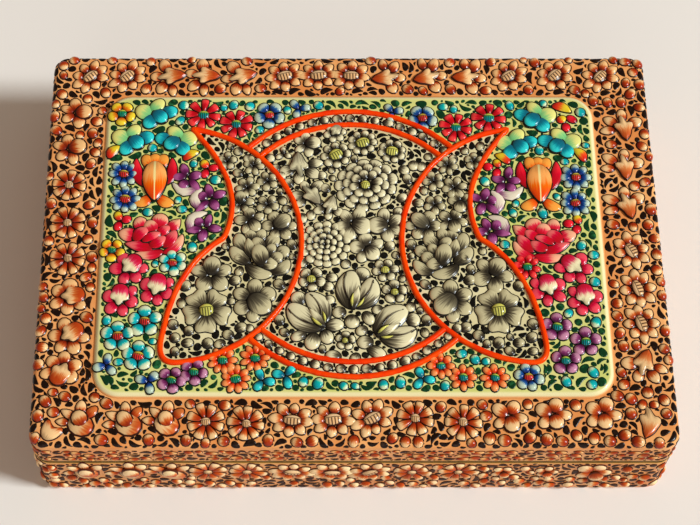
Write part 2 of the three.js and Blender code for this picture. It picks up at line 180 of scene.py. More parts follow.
def onWall(along, z, height):
    # A point runs counter-clockwise round the walls from the front's left end: each straight is
    # followed by a quarter turn about its corner's centre.
    along = np.mod(along, girth)
    part = np.searchsorted(sideStarts, along, side="right") - 1
    into = along - sideStarts[part]
    side = part // 2
    heading = side * math.pi / 2
    cornerX, cornerY = halfX - box["corner"], halfY - box["corner"]
    startX = np.choose(side, [-cornerX, cornerX, cornerX, -cornerX])
    startY = np.choose(side, [-cornerY, -cornerY, cornerY, cornerY])
    endX = np.choose(side, [cornerX, cornerX, -cornerX, -cornerX])
    endY = np.choose(side, [-cornerY, cornerY, cornerY, -cornerY])
    turned = (part % 2) * into / box["corner"]
    out = heading - math.pi / 2 + turned
    isArc = part % 2 == 1
    reach = box["corner"] + height
    x = np.where(isArc, endX, startX + np.cos(heading) * into) + np.cos(out) * reach
    y = np.where(isArc, endY, startY + np.sin(heading) * into) + np.sin(out) * reach
    return np.stack([x, y, z], -1)


def wallPlace(side, offset):
    # Run along the walls of a point at an offset from a side's middle, front, right, back, left.
    length = straightX if side % 2 == 0 else straightY
    return sideStarts[2 * side] + length / 2 + offset


# Petals: soft pillows of gesso with a painted outline

# rings are shares of the outline from the foot to the crown, around the points of each ring, ink
# the outline's width, reach how much farther the root's paint runs, and jitter the spread of the
# petals' size, heading and tone
petalLook = {"rings": (0.86, 0.56), "around": 12, "ink": 0.38, "jitter": (0.05, 0.05, 0.08)}
largeLook = {"rings": (0.93, 0.8, 0.58, 0.3), "around": 28, "ink": 0.38, "jitter": (0.02, 0.03, 0.06)}
wallLook = {"rings": (0.86, 0.56), "around": 12, "ink": 0.24, "reach": 0.06, "jitter": (0.08, 0.08, 0.1)}
strokeLook = {"rings": (0.6,), "around": 14, "ink": 0.0, "jitter": (0.0, 0.0, 0.1)}


class petalBed:
    # Rows of petals on one sheet. x and y are the petal's root and heading points to its tip.
    fields = ("x", "y", "heading", "length", "width", "rise", "lift", "taper", "point",
              "square", "bow", "notch", "blend", "stripes", "lobes")

    def __init__(self):
        self.rows = []

    def add(self, x, y, heading, length, width, root, tip, rise=1.1, lift=0.0, taper=0.0,
            point=0.0, square=0.0, bow=0.0, notch=0.0, blend=0.42, stripes=0.0, lobes=0.0):
        given = (x, y, heading, length, width, rise, lift, taper, point, square, bow, notch,
                 blend, stripes, lobes)
        numbers = np.stack([np.ravel(a) for a in np.broadcast_arrays(*np.atleast_1d(*given))], -1)
        colours = np.broadcast_to(np.hstack([root, tip]), (len(numbers), 6))
        self.rows.append(np.hstack([numbers.astype(float), colours]))

    def table(self):
        return np.vstack(self.rows)

    def discs(self, rows=None):
        # Five discs along each petal stand for it where others look for room.
        t = self.table() if rows is None else rows
        share = np.array([0.14, 0.32, 0.5, 0.68, 0.86])
        side = t[:, 10:11] * t[:, 3:4] * 4 * share * (1 - share)
        x = t[:, 0:1] + np.cos(t[:, 2:3]) * t[:, 3:4] * share - np.sin(t[:, 2:3]) * side
        y = t[:, 1:2] + np.sin(t[:, 2:3]) * t[:, 3:4] * share + np.cos(t[:, 2:3]) * side
        half = t[:, 4:5] * np.sqrt(share * (1 - share)) * (1 + t[:, 7:8] * (2 * share - 1))
        toEnd = t[:, 3:4] * np.minimum(share, 1 - share)
        return x.ravel(), y.ravel(), np.minimum(half, np.maximum(toEnd, half * 0.7)).ravel()


pillow = {
    "inkLift": 0.06,       # the outline's height over the ground
    "footSink": 0.05,      # and how far its edge is sunk in it
    "crown": (2.4, 0.6),   # powers of the round crown
    "lean": (0.82, 0.36),  # the crown's share at the root, and what it gains to the tip
    "notchWide": 0.42,
    "lobeWave": 5.2,
    "strokeFoot": 0.94,
    "bakeCell": (0.48, 0.45, 0.4),   # how much of its cell each part of a petal fills
}


def pillowPiece(name, bed, sheet, look):
    # Each petal's outline is an oval: cosine along the axis and sine across it, widened towards
    # the tip by the taper, narrowed there by the point, squared by the square, dented by the
    # notch and waved round the root into three lobes, with the axis bowed as a parabola. Rings
    # shrink it to the middle while the height follows a round crown. Outside the foot a flat rim
    # of ink drops to the ground.
    rows = bed.table()
    count = len(rows)
    jitter = rng.normal(0, 1, (count, 4)).clip(-2, 2)
    value = {f: rows[:, i][:, None, None] for i, f in enumerate(petalBed.fields)}
    length = value["length"] * (1 + look["jitter"][0] * jitter[:, 0])[:, None, None]
    width = value["width"] * (1 + look["jitter"][0] * jitter[:, 1])[:, None, None]
    heading = value["heading"] + (look["jitter"][1] * jitter[:, 2])[:, None, None]
    around = look["around"]
    angle = np.linspace(0, 2 * math.pi, around, endpoint=False)[None, None, :]
    inked = look["ink"] > 0
    foot = (1.0, 1.0, 1.0) if inked else (1.0, pillow["strokeFoot"])
    shares = np.array(foot + look["rings"] + (0.0,))[None, :, None]
    rings = shares.shape[1]
    rim = np.zeros((1, rings, 1))
    rim[0, :2] = look["ink"]
    base = np.full((1, rings, 1), pillow["inkLift"])
    base[0, 0] = -pillow["footSink"]
    riding = np.ones((1, rings, 1))
    riding[0, 0] = 0
    cosine, sine = np.cos(angle), np.sin(angle)
    edge = 1 - 0.5 * value["square"]
    off = np.minimum(angle, 2 * math.pi - angle)
    edgeAlong = np.sign(cosine) * np.abs(cosine) ** edge
    edgeAlong = edgeAlong - value["notch"] * np.exp(-(off / pillow["notchWide"]) ** 2)
    edgeAcross = np.sign(sine) * np.abs(sine) ** edge * (1 + value["taper"] * cosine)
    edgeAcross = edgeAcross * (1 - value["point"] * ((1 + cosine) / 2) ** 3)
    wave = 1 + value["lobes"] * (1 - cosine) / 2 * np.cos(pillow["lobeWave"] * (angle - math.pi))
    edgeAlong, edgeAcross = edgeAlong * wave, edgeAcross * wave
    alongShare = 0.5 * (1 + shares * edgeAlong)
    along = alongShare * length + rim * cosine
    across = 0.5 * shares * edgeAcross * width + rim * sine
    across = across + value["bow"] * length * 4 * alongShare * (1 - alongShare)
    steep, blunt = pillow["crown"]
    crown = (1 - shares ** steep) ** blunt * (pillow["lean"][0] + pillow["lean"][1] * alongShare)
    height = riding * value["lift"] + base + value["rise"] * crown
    x = value["x"] + along * np.cos(heading) - across * np.sin(heading)
    y = value["y"] + along * np.sin(heading) + across * np.cos(heading)
    x, y, height = np.broadcast_arrays(x, y, height)
    points = sheet(x, y, height)
    # The last ring has shrunk to the crown's top, so its points are one.
    perPetal = (rings - 1) * around + 1
    kept = np.concatenate([points[:, :-1].reshape(count, -1, 3), points[:, -1, :1]], 1)
    band = bandFaces(rings - 1, around)
    cap = (rings - 2) * around
    turn = np.arange(around)
    fan = np.stack([cap + turn, cap + (turn + 1) % around, np.full(around, perPetal - 1)], -1)
    first = (np.arange(count) * perPetal)[:, None, None]
    faces = (first + band).reshape(-1, 4).tolist() + (first + fan).reshape(-1, 3).tolist()
    piece = meshPiece(name, kept, faces)

    def perPoint(values):
        grid = np.broadcast_to(values, (count, rings, around))
        return np.concatenate([grid[:, :-1].reshape(count, -1), grid[:, -1, :1]], 1).ravel()

    petalU = perPoint(0.5 + 0.5 * shares * sine)
    petalV = perPoint(0.5 + 0.5 * shares * cosine)
    setUv(piece, "petal", np.stack([petalU, petalV], -1))
    side = math.ceil(math.sqrt(count))
    cell = np.repeat(np.arange(count), perPetal)
    spread = np.full((1, rings, 1), pillow["bakeCell"][2])
    spread[0, :2, 0] = pillow["bakeCell"][:2]
    cellU = (cell % side + perPoint(0.5 + spread * shares * sine)) / side
    cellV = (cell // side + perPoint(0.5 + spread * shares * cosine)) / side
    setUv(piece, "OFBake", np.stack([cellU, cellV], -1))
    tint = 1 + look["jitter"][2] * jitter[:, 3:4]
    roots = np.clip(rows[:, -6:-3] * tint, 0, 1)
    tips = np.clip(rows[:, -3:] * (1 + (tint - 1) / 2), 0, 1)
    setPointColours(piece, "rootColour", np.repeat(roots, perPetal, 0))
    setPointColours(piece, "tipColour", np.repeat(tips, perPetal, 0))
    setPointColours(piece, "midColour", np.repeat(np.sqrt(roots * tips), perPetal, 0))  # a thin glaze
    inkRings = np.zeros((1, rings, 1))
    inkRings[:, :3] = inked
    setPointValues(piece, "ink", perPoint(inkRings))
    setPointValues(piece, "blend", perPoint(value["blend"] + look.get("reach", 0.0)))
    setPointValues(piece, "stripes", perPoint(value["stripes"]))
    setPointValues(piece, "seed", np.repeat(rng.random(count), perPetal))
    print("  ", name, count, "pieces of relief,", len(kept) * perPetal, "points")
    return piece


# Room between the flowers


class roomMap:
    # A grid over a region that knows how far each place is from everything laid so far.
    step = 0.4
    sight = 8              # farther than this from a disc's edge, the disc doesn't matter

    def __init__(self, lowX, highX, lowY, highY, room):
        self.lowX, self.lowY = lowX, lowY
        self.x, self.y = np.meshgrid(np.arange(lowX, highX, self.step), np.arange(lowY, highY, self.step))
        self.free = room(self.x, self.y)

    def block(self, x, y, r):
        # Takes discs away from the room, each only where it can matter.
        for cx, cy, cr in zip(np.ravel(x), np.ravel(y), np.ravel(r)):
            reach = cr + self.sight
            i = max(int((cx - reach - self.lowX) / self.step), 0)
            j = max(int((cy - reach - self.lowY) / self.step), 0)
            n = int(2 * reach / self.step) + 2
            part = (slice(j, j + n), slice(i, i + n))
            if self.free[part].size:
                away = np.hypot(self.x[part] - cx, self.y[part] - cy) - cr
                self.free[part] = np.minimum(self.free[part], away)

    def freeAt(self, x, y):
        i = np.clip(((x - self.lowX) / self.step).round().astype(int), 0, self.x.shape[1] - 1)
        j = np.clip(((y - self.lowY) / self.step).round().astype(int), 0, self.x.shape[0] - 1)
        return self.free[j, i]

    def widest(self):
        j, i = np.unravel_index(np.argmax(self.free), self.free.shape)
        return self.x[j, i], self.y[j, i], self.free[j, i]

    def easiestHeading(self, x, y, reach):
        # Of twelve directions through a place, the one with most room at both of its ends.
        turns = rng.uniform(0, math.pi) + np.arange(12) * math.pi / 12
        dx, dy = reach * np.cos(turns), reach * np.sin(turns)
        both = np.minimum(self.freeAt(x + dx, y + dy), self.freeAt(x - dx, y - dy))
        return turns[np.argmax(both)]


stroke = {
    "ends": 1.7,           # where its ends would lie, in radii of the room
    "dot": 2.2,            # length of a dot, in radii
    "width": (2.15, -0.25),    # of a dot, and what a long stroke adds
    "taper": (-0.08, -0.36),
    "point": 0.3,
    "bow": 0.2,
    "rise": 0.14,
    "root": 0.42,          # share of the stroke behind the room's middle
    "apart": (0.15, 0.75),     # from the next stroke
}


def layStroke(room, bed, colour, x, y, r, gap, longest):
    # A brush stroke in the room about x, y: a dot where it is round, a curled comma or a leaf
    # where it runs on. Strokes lie closer to each other than to the petals.
    heading = room.easiestHeading(x, y, stroke["ends"] * r + gap)
    dx, dy = math.cos(heading), math.sin(heading)
    outX, outY = dx * stroke["ends"] * r, dy * stroke["ends"] * r
    ends = room.freeAt(x + outX, y + outY), room.freeAt(x - outX, y - outY)
    if ends[0] < ends[1]:
        heading, dx, dy = heading + math.pi, -dx, -dy
    run = min(max((min(ends) - gap * 0.3) / r, 0), 1)
    length = r * (stroke["dot"] + (longest - stroke["dot"]) * run)
    width = r * (stroke["width"][0] + stroke["width"][1] * run)
    bow = rng.choice([-stroke["bow"], stroke["bow"]]) * run
    rootX, rootY = x - dx * length * stroke["root"], y - dy * length * stroke["root"]
    bed.add(rootX, rootY, heading, length, width, colour, colour, rise=stroke["rise"],
            taper=stroke["taper"][0] + stroke["taper"][1] * run, point=stroke["point"] * run, bow=bow)
    px, py, pr = bed.discs(bed.rows[-1])
    room.block(px, py, pr + rng.uniform(*stroke["apart"]) - gap)


def strewBerries(room, bed, paints, strokes, colour, least, most, gap, limit=400, curls=0.0, **look):
    # Berries in the widest places, and now and then a long curl instead.
    for _ in range(limit):
        x, y, wide = room.widest()
        if wide - gap < least:
            break
        if rng.random() < curls:
            layStroke(room, strokes, colour, x, y, rng.uniform(0.9, 1.25), 0.45, 5.2)
            continue
        r = min(wide - gap, most) * rng.uniform(0.88, 1)
        turn = rng.uniform(0, 2 * math.pi)
        button(bed, x, y, 2.2 * r, 1.85 * r, paints, turn, **{"rise": 0.55 * r, **look})
        room.block(x, y, r)


def strewStrokes(room, bed, colour, least, most, gap=0.45, limit=2500, longest=4.4):
    for _ in range(limit):
        x, y, wide = room.widest()
        r = min(wide - gap, most) * rng.uniform(0.85, 1)
        if r < least:
            break
        layStroke(room, bed, colour, x, y, r, gap, longest)


# Flowers. Each lays its petals on a bed about x, y, within a radius, turned by an angle.
# A pair of paints is the root's and the tip's.


def petalRing(bed, x, y, count, inner, outer, paints, turn=0.0, fit=1.0, stretch=1.0, lean=0.0, **look):
    # Petals round an oval whose long axis lies along the lean, wide enough for neighbours to
    # touch where the fit is one.
    angle = turn + 2 * math.pi * ((np.arange(count) + 0.5) / count)
    long, short = math.sqrt(stretch), 1 / math.sqrt(stretch)
    a, b = np.cos(angle - lean) * long, np.sin(angle - lean) * short
    dx, dy = a * math.cos(lean) - b * math.sin(lean), a * math.sin(lean) + b * math.cos(lean)
    reach = np.hypot(dx, dy)
    width = 2 * (inner + 0.58 * (outer - inner)) * math.sin(math.pi / count) * fit
    look = {"taper": 0.15, **look}
    bed.add(x + dx * inner, y + dy * inner, np.arctan2(dy, dx), (outer - inner) * reach, width,
            *paints, **look)


def button(bed, x, y, length, width, paints, turn=0.0, **look):
    bed.add(x - math.cos(turn) * length / 2, y - math.sin(turn) * length / 2, turn, length, width,
            *paints, **look)


def heart(bed, x, y, wide, high, paints, turn=0.0, **look):
    # A striped heart, whose long axis lies along the turn and whose cap is on its left.
    button(bed, x, y, high, wide, paints, turn + math.pi / 2,
           **{"rise": 1.15, "lift": 0.3, "stripes": 1, "blend": 0.62, **look})


# where along a petal the root's paint gives way to the tip's
reaches = {"wing": 0.56, "pale": 0.26, "cup": 0.72, "teal": 0.6, "lime": 0.5, "rose": 0.5, "core": 0.56,
           "side": 0.6, "body": 0.6}
lobesOf = {True: 0.32, False: 0.18}    # how deep a wing's lobes are, pointed or not


def bunch(bed, x, y, r, rows, paints, turn=0.0, flip=1, wings=None):
    # Petals drawn one by one. A row holds the key of its paints, the middle x and y, the heading
    # in degrees, the length and the width, as shares of r, then a bow, a point and a lift. The
    # wings, which are lobed, can lie on a finer bed of their own.
    for key, px, py, degrees, length, width, bow, point, lift in rows:
        heading = math.radians(degrees)
        sx = px - math.cos(heading) * length / 2
        sy = py - math.sin(heading) * length / 2
        sx, heading, bow = (sx, heading, bow) if flip > 0 else (-sx, math.pi - heading, -bow)
        c, s = math.cos(turn), math.sin(turn)
        lobed = key == "wing" and wings is not None
        (wings if lobed else bed).add(
            x + (sx * c - sy * s) * r, y + (sx * s + sy * c) * r, heading + turn, length * r, width * r,
            *paints[key], bow=bow, point=point, lift=lift, lobes=lobed * lobesOf[point > 0],
            rise=0.55 + 0.075 * width * r, stripes=-1.0 if key == "body" else 0.0,
            blend=reaches.get(key, 0.42))


def fivePetal(bed, x, y, r, turn, paints, count=5):
    # Plain petals that start almost at the middle.
    petalRing(bed, x, y, count, 0.06 * r, r, paints, turn, fit=0.98, taper=0.3)


def fanDaisy(bed, x, y, r, turn, paints, middle, centre=0.24):
    # Eight blunt petals that widen like fans, a little apart, round a small heart.
    petalRing(bed, x, y, 8, 0.2 * r, r, paints, turn, fit=0.8, taper=0.62, square=0.75, rise=0.95,
              blend=0.56)
    heart(bed, x, y, 2.1 * centre * r, 1.9 * centre * r, middle, lift=0.15, rise=0.95)


def sunFlower(bed, x, y, r, turn, paints, middle):
    # Eight pointed petals round an oval heart, all stretched along the turn.
    petalRing(bed, x, y, 8, 0.34 * r, r, paints, turn + 0.2, stretch=1.22, lean=turn, point=0.42, taper=0.1,
              blend=0.36)
    heart(bed, x, y, 0.94 * r, 0.56 * r, middle, turn)


def capFlower(bed, x, y, r, turn, paints, middle, count=6, **look):
    # Petals round a broad heart, which stands nearly upright whatever the turn.
    petalRing(bed, x, y, count, 0.26 * r, r, paints, turn, **{"taper": 0.2, "point": 0.15, **look})
    heart(bed, x, y, 0.7 * r, 0.56 * r, middle, 0.15 * math.sin(7 * x))


def sprig(bed, x, y, r, turn, paints):
    # Three slim petals from one point.
    petalRing(bed, x, y, 3, 0.03 * r, r, paints, turn, fit=0.64, taper=0.2)


arrowRows = (
    ("leaf", -0.74, 0.36, 152, 0.92, 0.68, 0, 0.3, 0), ("leaf", 0.02, 0.7, 88, 0.76, 0.6, 0, 0.1, 0),
    ("leaf", 0.74, 0.28, 22, 0.88, 0.72, 0, 0.2, 0), ("leaf", -0.86, -0.26, 188, 0.8, 0.54, 0, 0.3, 0.1),
    ("wing", 0.06, -0.22, 280, 1.42, 1.0, 0.03, 0.8, 0.7),
)
budRows = (
    ("leaf", -0.92, -0.1, 178, 0.72, 0.46, 0, 0.6, 0), ("leaf", -0.56, 0.34, 150, 0.96, 0.54, 0, 0.5, 0),
    ("leaf", 0.04, 0.68, 88, 0.8, 0.58, 0, 0.2, 0), ("deep", 0.6, 0.44, 46, 0.8, 0.56, 0, 0.2, 0),
    ("cup", 0.12, -0.2, 338, 1.46, 1.2, 0, 0, 0.1), ("star", 0.0, 0.06, 120, 0.96, 0.86, 0, 0, 1.1),
)
lobeRows = (
    ("leaf", 0.05, 0.64, 84, 0.86, 0.82, 0, 0, 0.15), ("leaf", -0.58, 0.36, 148, 0.84, 0.72, 0, 0, 0),
    ("leaf", -0.6, -0.34, 212, 0.82, 0.66, 0, 0, 0.1), ("leaf", -0.02, -0.66, 268, 0.84, 0.74, 0, 0, 0),
    ("leaf", 0.58, -0.44, 322, 0.8, 0.66, 0, 0, 0.1), ("wing", 0.3, 0.1, 8, 1.24, 1.04, 0, 0, 0.85),
)
roundRows = (
    ("leaf", -0.12, 0.6, 98, 0.92, 0.76, 0, 0, 0.1), ("leaf", -0.6, 0.28, 156, 0.86, 0.6, 0, 0, 0),
    ("leaf", -0.52, -0.36, 220, 0.9, 0.62, 0, 0, 0.1), ("leaf", 0.08, -0.6, 276, 0.94, 0.72, 0.05, 0, 0),
    ("leaf", 0.46, 0.08, 8, 1.1, 1.04, 0, 0, 0.8),
)
twistRows = (
    ("leaf", -0.5, 0.36, 146, 1.0, 0.86, 0, 0, 0), ("leaf", 0.24, 0.58, 68, 0.9, 0.84, 0, 0, 0.1),
    ("leaf", -0.5, -0.34, 214, 0.92, 0.66, 0, 0, 0.1), ("leaf", 0.62, 0.02, 352, 0.96, 0.66, -0.08, 0, 0.1),
    ("leaf", 0.1, -0.46, 280, 0.98, 0.92, 0, 0, 0.7),
)
pansyRows = (
    ("lime", -0.6, 0.14, 152, 1.16, 0.94, 0, 0, 0), ("lime", 0.04, 0.5, 48, 1.04, 0.74, 0, 0, 0.3),
    ("teal", 0.68, 0.16, 16, 1.0, 0.76, 0, 0, 0.1), ("teal", -0.3, -0.4, 238, 1.0, 0.8, 0, 0, 0.35),
    ("teal", 0.22, -0.14, 318, 0.96, 0.82, 0, 0, 1.0),
)
tulipRows = (
    ("frill", -0.32, 0.82, 122, 0.86, 0.6, 0, 0, 0), ("frill", 0.3, 0.84, 62, 0.86, 0.62, 0, 0, 0.05),
    ("frill", 0.0, 0.92, 92, 0.7, 0.62, 0, 0, 0.1), ("side", -0.64, 0.26, 104, 1.6, 0.56, 0.1, 0.4, 0.1),
    ("side", 0.66, 0.3, 77, 1.5, 0.54, -0.1, 0.4, 0.1), ("body", 0.0, -0.2, 271, 2.1, 1.26, 0, 0.5, 0.8),
    ("frill", -0.54, -1.22, 208, 0.9, 0.54, 0.1, 0, 0), ("frill", 0.54, -1.24, 330, 0.9, 0.56, -0.1, 0, 0),
)
purpleRows = (
    ("pale", -0.34, 0.24, 54, 1.7, 0.62, 0.28, 0, 0), ("deep", -0.3, 0.34, 112, 0.66, 0.58, 0, 0, 0.4),
    ("deep", 0.26, 0.4, 68, 0.86, 0.52, 0, 0.2, 0.1), ("deep", 0.58, -0.08, 350, 0.84, 0.52, 0, 0.2, 0.2),
    ("deep", -0.04, -0.5, 262, 0.84, 0.56, 0, 0.1, 0.1), ("deep", -0.6, -0.18, 192, 1.0, 0.52, 0, 0.5, 0.1),
)
roseRows = (
    ("rose", -0.1, -0.58, 182, 0.96, 0.36, 0.08, 0.2, 0),
    ("rose", 0.68, -0.32, 44, 0.9, 0.34, -0.14, 0.1, 0),
    ("rose", -0.74, 0.08, 165, 0.7, 0.5, 0, 0.2, 0), ("rose", -0.34, 0.46, 104, 0.52, 0.48, 0, 0.1, 0),
    ("rose", 0.28, 0.52, 72, 0.54, 0.56, 0, 0, 0), ("rose", 0.74, 0.36, 44, 0.56, 0.42, 0, 0.7, 0),
    ("core", -0.38, -0.34, 164, 0.94, 0.4, 0, 0.6, 0.45),
    ("core", 0.58, -0.12, 54, 0.76, 0.42, -0.05, 0.2, 0.4),
    ("rose", 0.0, 0.32, 112, 0.52, 0.5, 0, 0.1, 0.5), ("core", 0.38, 0.16, 34, 0.56, 0.36, 0, 0.2, 0.5),
    ("core", -0.34, 0.06, 42, 0.62, 0.42, 0.05, 0.1, 0.85),
    ("core", 0.2, -0.24, 28, 0.64, 0.38, -0.05, 0.2, 0.8),
    ("core", 0.0, -0.06, 26, 0.66, 0.3, 0.05, 0.2, 1.2),
)
peonyRows = (
    ("leaf", -0.66, 0.0, 132, 0.9, 0.54, 0.06, 0.1, 0), ("leaf", -0.54, 0.5, 106, 0.8, 0.5, 0.05, 0, 0),
    ("leaf", -0.04, -0.64, 332, 1.04, 0.46, -0.12, 0, 0), ("leaf", 0.7, -0.56, 28, 0.86, 0.46, -0.14, 0, 0),
    ("leaf", -0.2, 0.78, 92, 0.5, 0.46, 0, 0, 0), ("leaf", 0.12, 0.72, 62, 0.56, 0.42, 0, 0, 0.1),
    ("leaf", 0.52, 0.44, 48, 0.66, 0.5, 0, 0, 0), ("leaf", 0.84, 0.0, 30, 0.56, 0.46, 0, 0, 0.1),
    ("leaf", -0.3, 0.26, 98, 0.74, 0.46, 0, 0.6, 0.55), ("leaf", 0.04, 0.4, 128, 0.54, 0.42, 0, 0, 0.5),
    ("leaf", 0.44, 0.12, 58, 0.5, 0.38, 0, 0, 0.5), ("leaf", 0.6, -0.24, 40, 0.54, 0.44, 0, 0, 0.45),
    ("leaf", 0.34, -0.44, 350, 0.6, 0.5, 0, 0, 0.5), ("leaf", 0.06, -0.08, 100, 0.84, 0.6, 0, 0.05, 1.1),
)
greyTulipRows = (
    ("leaf", 0.14, 0.84, 74, 0.6, 0.66, 0, 0, 0), ("leaf", -0.24, 0.02, 100, 1.86, 1.1, 0.08, 0.05, 0.15),
    ("leaf", 0.32, -0.06, 70, 1.62, 0.96, -0.12, 0.05, 0.2),
    ("fold", -0.36, 0.1, 100, 1.3, 0.12, 0.12, 0.6, 1.15), ("leaf", 0.02, -0.36, 84, 1.1, 0.44, 0, 0.8, 0.9),
    ("vein", -0.1, -0.52, 96, 0.62, 0.14, 0.06, 0.8, 1.45),
    ("fold", 0.42, 0.06, 68, 1.1, 0.1, -0.12, 0.6, 1.2),
    ("vein", 0.26, -0.56, 60, 0.56, 0.12, -0.08, 0.8, 1.1),
)


def roundCluster(bed, x, y, r, rings, paints, lift=0.3, stretch=1.1, **look):
    # Rings of round petals, outermost first, each ring riding on the one outside it.
    for level, (count, reach, size) in enumerate(rings):
        petalRing(bed, x, y, count, (reach - size) * r, reach * r, paints, 0.7 * level, lift=lift * level,
                  stretch=stretch, lean=0.5, rise=0.85, **look)


print("stage: paints")
rust = (paint(168, 46, 4), paint(242, 196, 138))
# A deeper rust for the border's back and left sides: painted shade on the sides away from the light.
shadedRust = (paint(150, 34, 2), paint(238, 184, 122))
wallRust = (paint(188, 68, 12), paint(255, 216, 164))
rustLeaf = (paint(172, 58, 8), paint(240, 178, 112))
rustHeart = (paint(222, 172, 118), paint(240, 200, 150))
tanPaints = {"leaf": rust, "star": rust, "cup": (rust[1], paint(190, 70, 18)),
             "deep": (rust[0], paint(206, 108, 48)), "wing": (rust[1], paint(196, 84, 30))}
wallPaints = {**tanPaints, "leaf": wallRust, "star": wallRust, "deep": wallRust}
shadedSidePaints = {**tanPaints, "leaf": shadedRust, "star": shadedRust, "wing": (rust[1], paint(182, 62, 12))}
inkBrown = paint(52, 14, 4)
inkBlack = paint(26, 10, 4)

# Borders: rows of flowers on the lid's border, its edge and the base's walls

border = {
    "radius": 7.5,
    "sizes": {"sun": 1.08, "round": 0.92, "twist": 0.92},
    "edgeReach": 3.8,      # how far the lid's relief runs over its edge
    # each flower's kind, its place along the row, its place across it and its turn
    "front": (("bud", -107.5, 0, 0), ("bud", -89.3, -0.3, 0.1), ("bud", -73.7, 0, -0.1),
              ("fan", -58, -0.5, 0), ("fan", -42.3, -1.3, 0.2), ("sun", -24.5, 0.2, 0),
              ("sun", -8.3, 0.2, 0.1), ("sun", 6.8, 0.8, 0.6), ("fan", 23.8, 0.8, 0.1),
              ("fan", 42.4, -0.8, 0.3), ("twist", 60.6, 1.4, 0), ("twist", 77.8, 2, 0.1),
              ("twist", 97.1, 2.4, 0)),
    "back": (("sun", -111.2, -0.6, 0.8), ("sun", -95.1, -0.6, 0.7), ("arrow", -77.2, -1, 1.5),
             ("arrow", -62.4, -0.6, 1.3), ("arrow", -46.6, -1, 1.7), ("sun", -27.6, -0.4, 0.3),
             ("sun", -13.2, 0, 0.2), ("sun", 0.8, 0, 0.05), ("arrow", 16.6, -0.8, -1.6),
             ("arrow", 34.2, -0.5, -1.5), ("arrow", 51, -0.5, -1.7), ("sun", 68.4, -0.4, 0.6),
             ("sun", 88.4, 0, 0.7), ("sun", 107.9, -0.5, 0.75)),
    "left": (("lobe", -56.8, 0.8, -2.2), ("lobe", -42.4, -1, 0.5), ("lobe", -25.2, 0, 0),
             ("fan", -7.9, 1.4, 0.1), ("fan", 8.4, 2.2, 0), ("fan", 26.1, 2.5, 0.2), ("round", 42.9, 3, 0.1),
             ("round", 60.6, 1.1, 0)),
    "right": (("down", -54.9, -0.6, 2.6), ("sun", -36.9, -1, 1.85), ("sun", -21.6, -0.8, 1.9),
              ("sun", -4.3, 0.2, 2.0), ("down", 17, 0.8, 0.1), ("down", 35.2, 0.4, -0.1),
              ("down", 54.2, -1, 0)),
}
bunches = {"bud": budRows, "lobe": lobeRows, "round": roundRows, "twist": twistRows, "arrow": arrowRows,
           "down": arrowRows}


def borderFlower(bed, kind, x, y, r, turn, paints=tanPaints, wings=None):
    r = border["sizes"].get(kind, 1) * r
    if kind == "fan":
        fanDaisy(bed, x, y, r, turn, paints["leaf"], rustHeart)
    elif kind == "sun":
        sunFlower(bed, x, y, r, turn, paints["leaf"], rustHeart)
    else:
        bunch(bed, x, y, r, bunches[kind], paints, turn, wings=wings)


print("stage: lid border")
lidPetals, lidWings, lidStrokes = petalBed(), petalBed(), petalBed()
# The rows' middle lines, drawn a little off the middle of the border
midSide = halfX - sideBorder / 2 - 0.6
midEnd = halfY - endBorder / 2 + 0.4
for side, middle in (("front", -midEnd + 1.2), ("back", midEnd), ("left", -midSide), ("right", midSide)):
    for kind, along, off, turn in border[side]:
        place = (along, middle + off) if side in ("front", "back") else (middle - off, along)
        # The back and left sides take the deeper rust, painted shade on the sides away from the light.
        paints = shadedSidePaints if side in ("back", "left") else tanPaints
        borderFlower(lidPetals, kind, *place, border["radius"], turn, paints, lidWings)
# Broad corner leaves
button(lidWings, -midSide - 3.6, -midEnd - 3.2, 8.4, 8.2, rust[::-1], 0.95, notch=0.62, taper=0.3,
       square=0.3, blend=0.74)
button(lidWings, midSide - 0.6, -midEnd - 0.2, 12, 8, tanPaints["wing"], -1.75, point=0.8, bow=0.12,
       lobes=0.25, blend=0.62)


def borderRoom(x, y):
    reach = border["edgeReach"] - box["edgeRound"]
    outer = -roundedDistance(x, y, halfX + reach, halfY + reach, box["corner"])[0]
    inner = roundedDistance(x, y, fieldX - 0.2, fieldY - 0.2, box["fieldCorner"])[0]
    return np.minimum(outer, inner)


lidRoom = roomMap(-halfX - 3, halfX + 3, -halfY - 3, halfY + 3, borderRoom)
lidRoom.block(*lidPetals.discs())
lidRoom.block(*lidWings.discs())
strewBerries(lidRoom, lidPetals, rust, lidStrokes, inkBlack, 1.85, 2.4, 0.6, curls=0.26, blend=0.58)
strewStrokes(lidRoom, lidStrokes, inkBlack, 0.45, 1.5)

print("stage: walls")
wallPetals, wallStrokes = petalBed(), petalBed()
baseWall = {
    "rowDrop": 10.8,       # from the rim to the flowers' middles
    "stretch": 1.22,       # the flowers are drawn taller than wide
    "sizes": {"arrow": 0.78, "down": 0.78},
    "size": 1.04,
    "small": (0.66, 50, 90),   # size of the front's small flowers, from one place to another
    "margins": (0.6, 1.4),     # bare at the foot and at the rim
}
lidWall = {
    "margins": (1.6, 1.4),
    "leafSize": (1.3, 2.2),
    "leafShape": (2.7, 1.9),   # length and width, in sizes
    "lean": 0.9,
    "gap": 0.25,
    "least": 1.25,
    "strokes": 0.3,            # share of the places that get a stroke
    "stroke": (0.75, 0.3, 3.6),    # its size, in a leaf's sizes, its gap and its longest run
    "spine": 0.8,              # three discs this big and this far apart stand for a leaf
    "tries": 1400,
}
rowHeight = baseTop - baseWall["rowDrop"]


def onTallWall(along, z, height):
    # The wall with its heights stretched about the row's middle.
    return onWall(along, rowHeight + (z - rowHeight) * baseWall["stretch"], height)


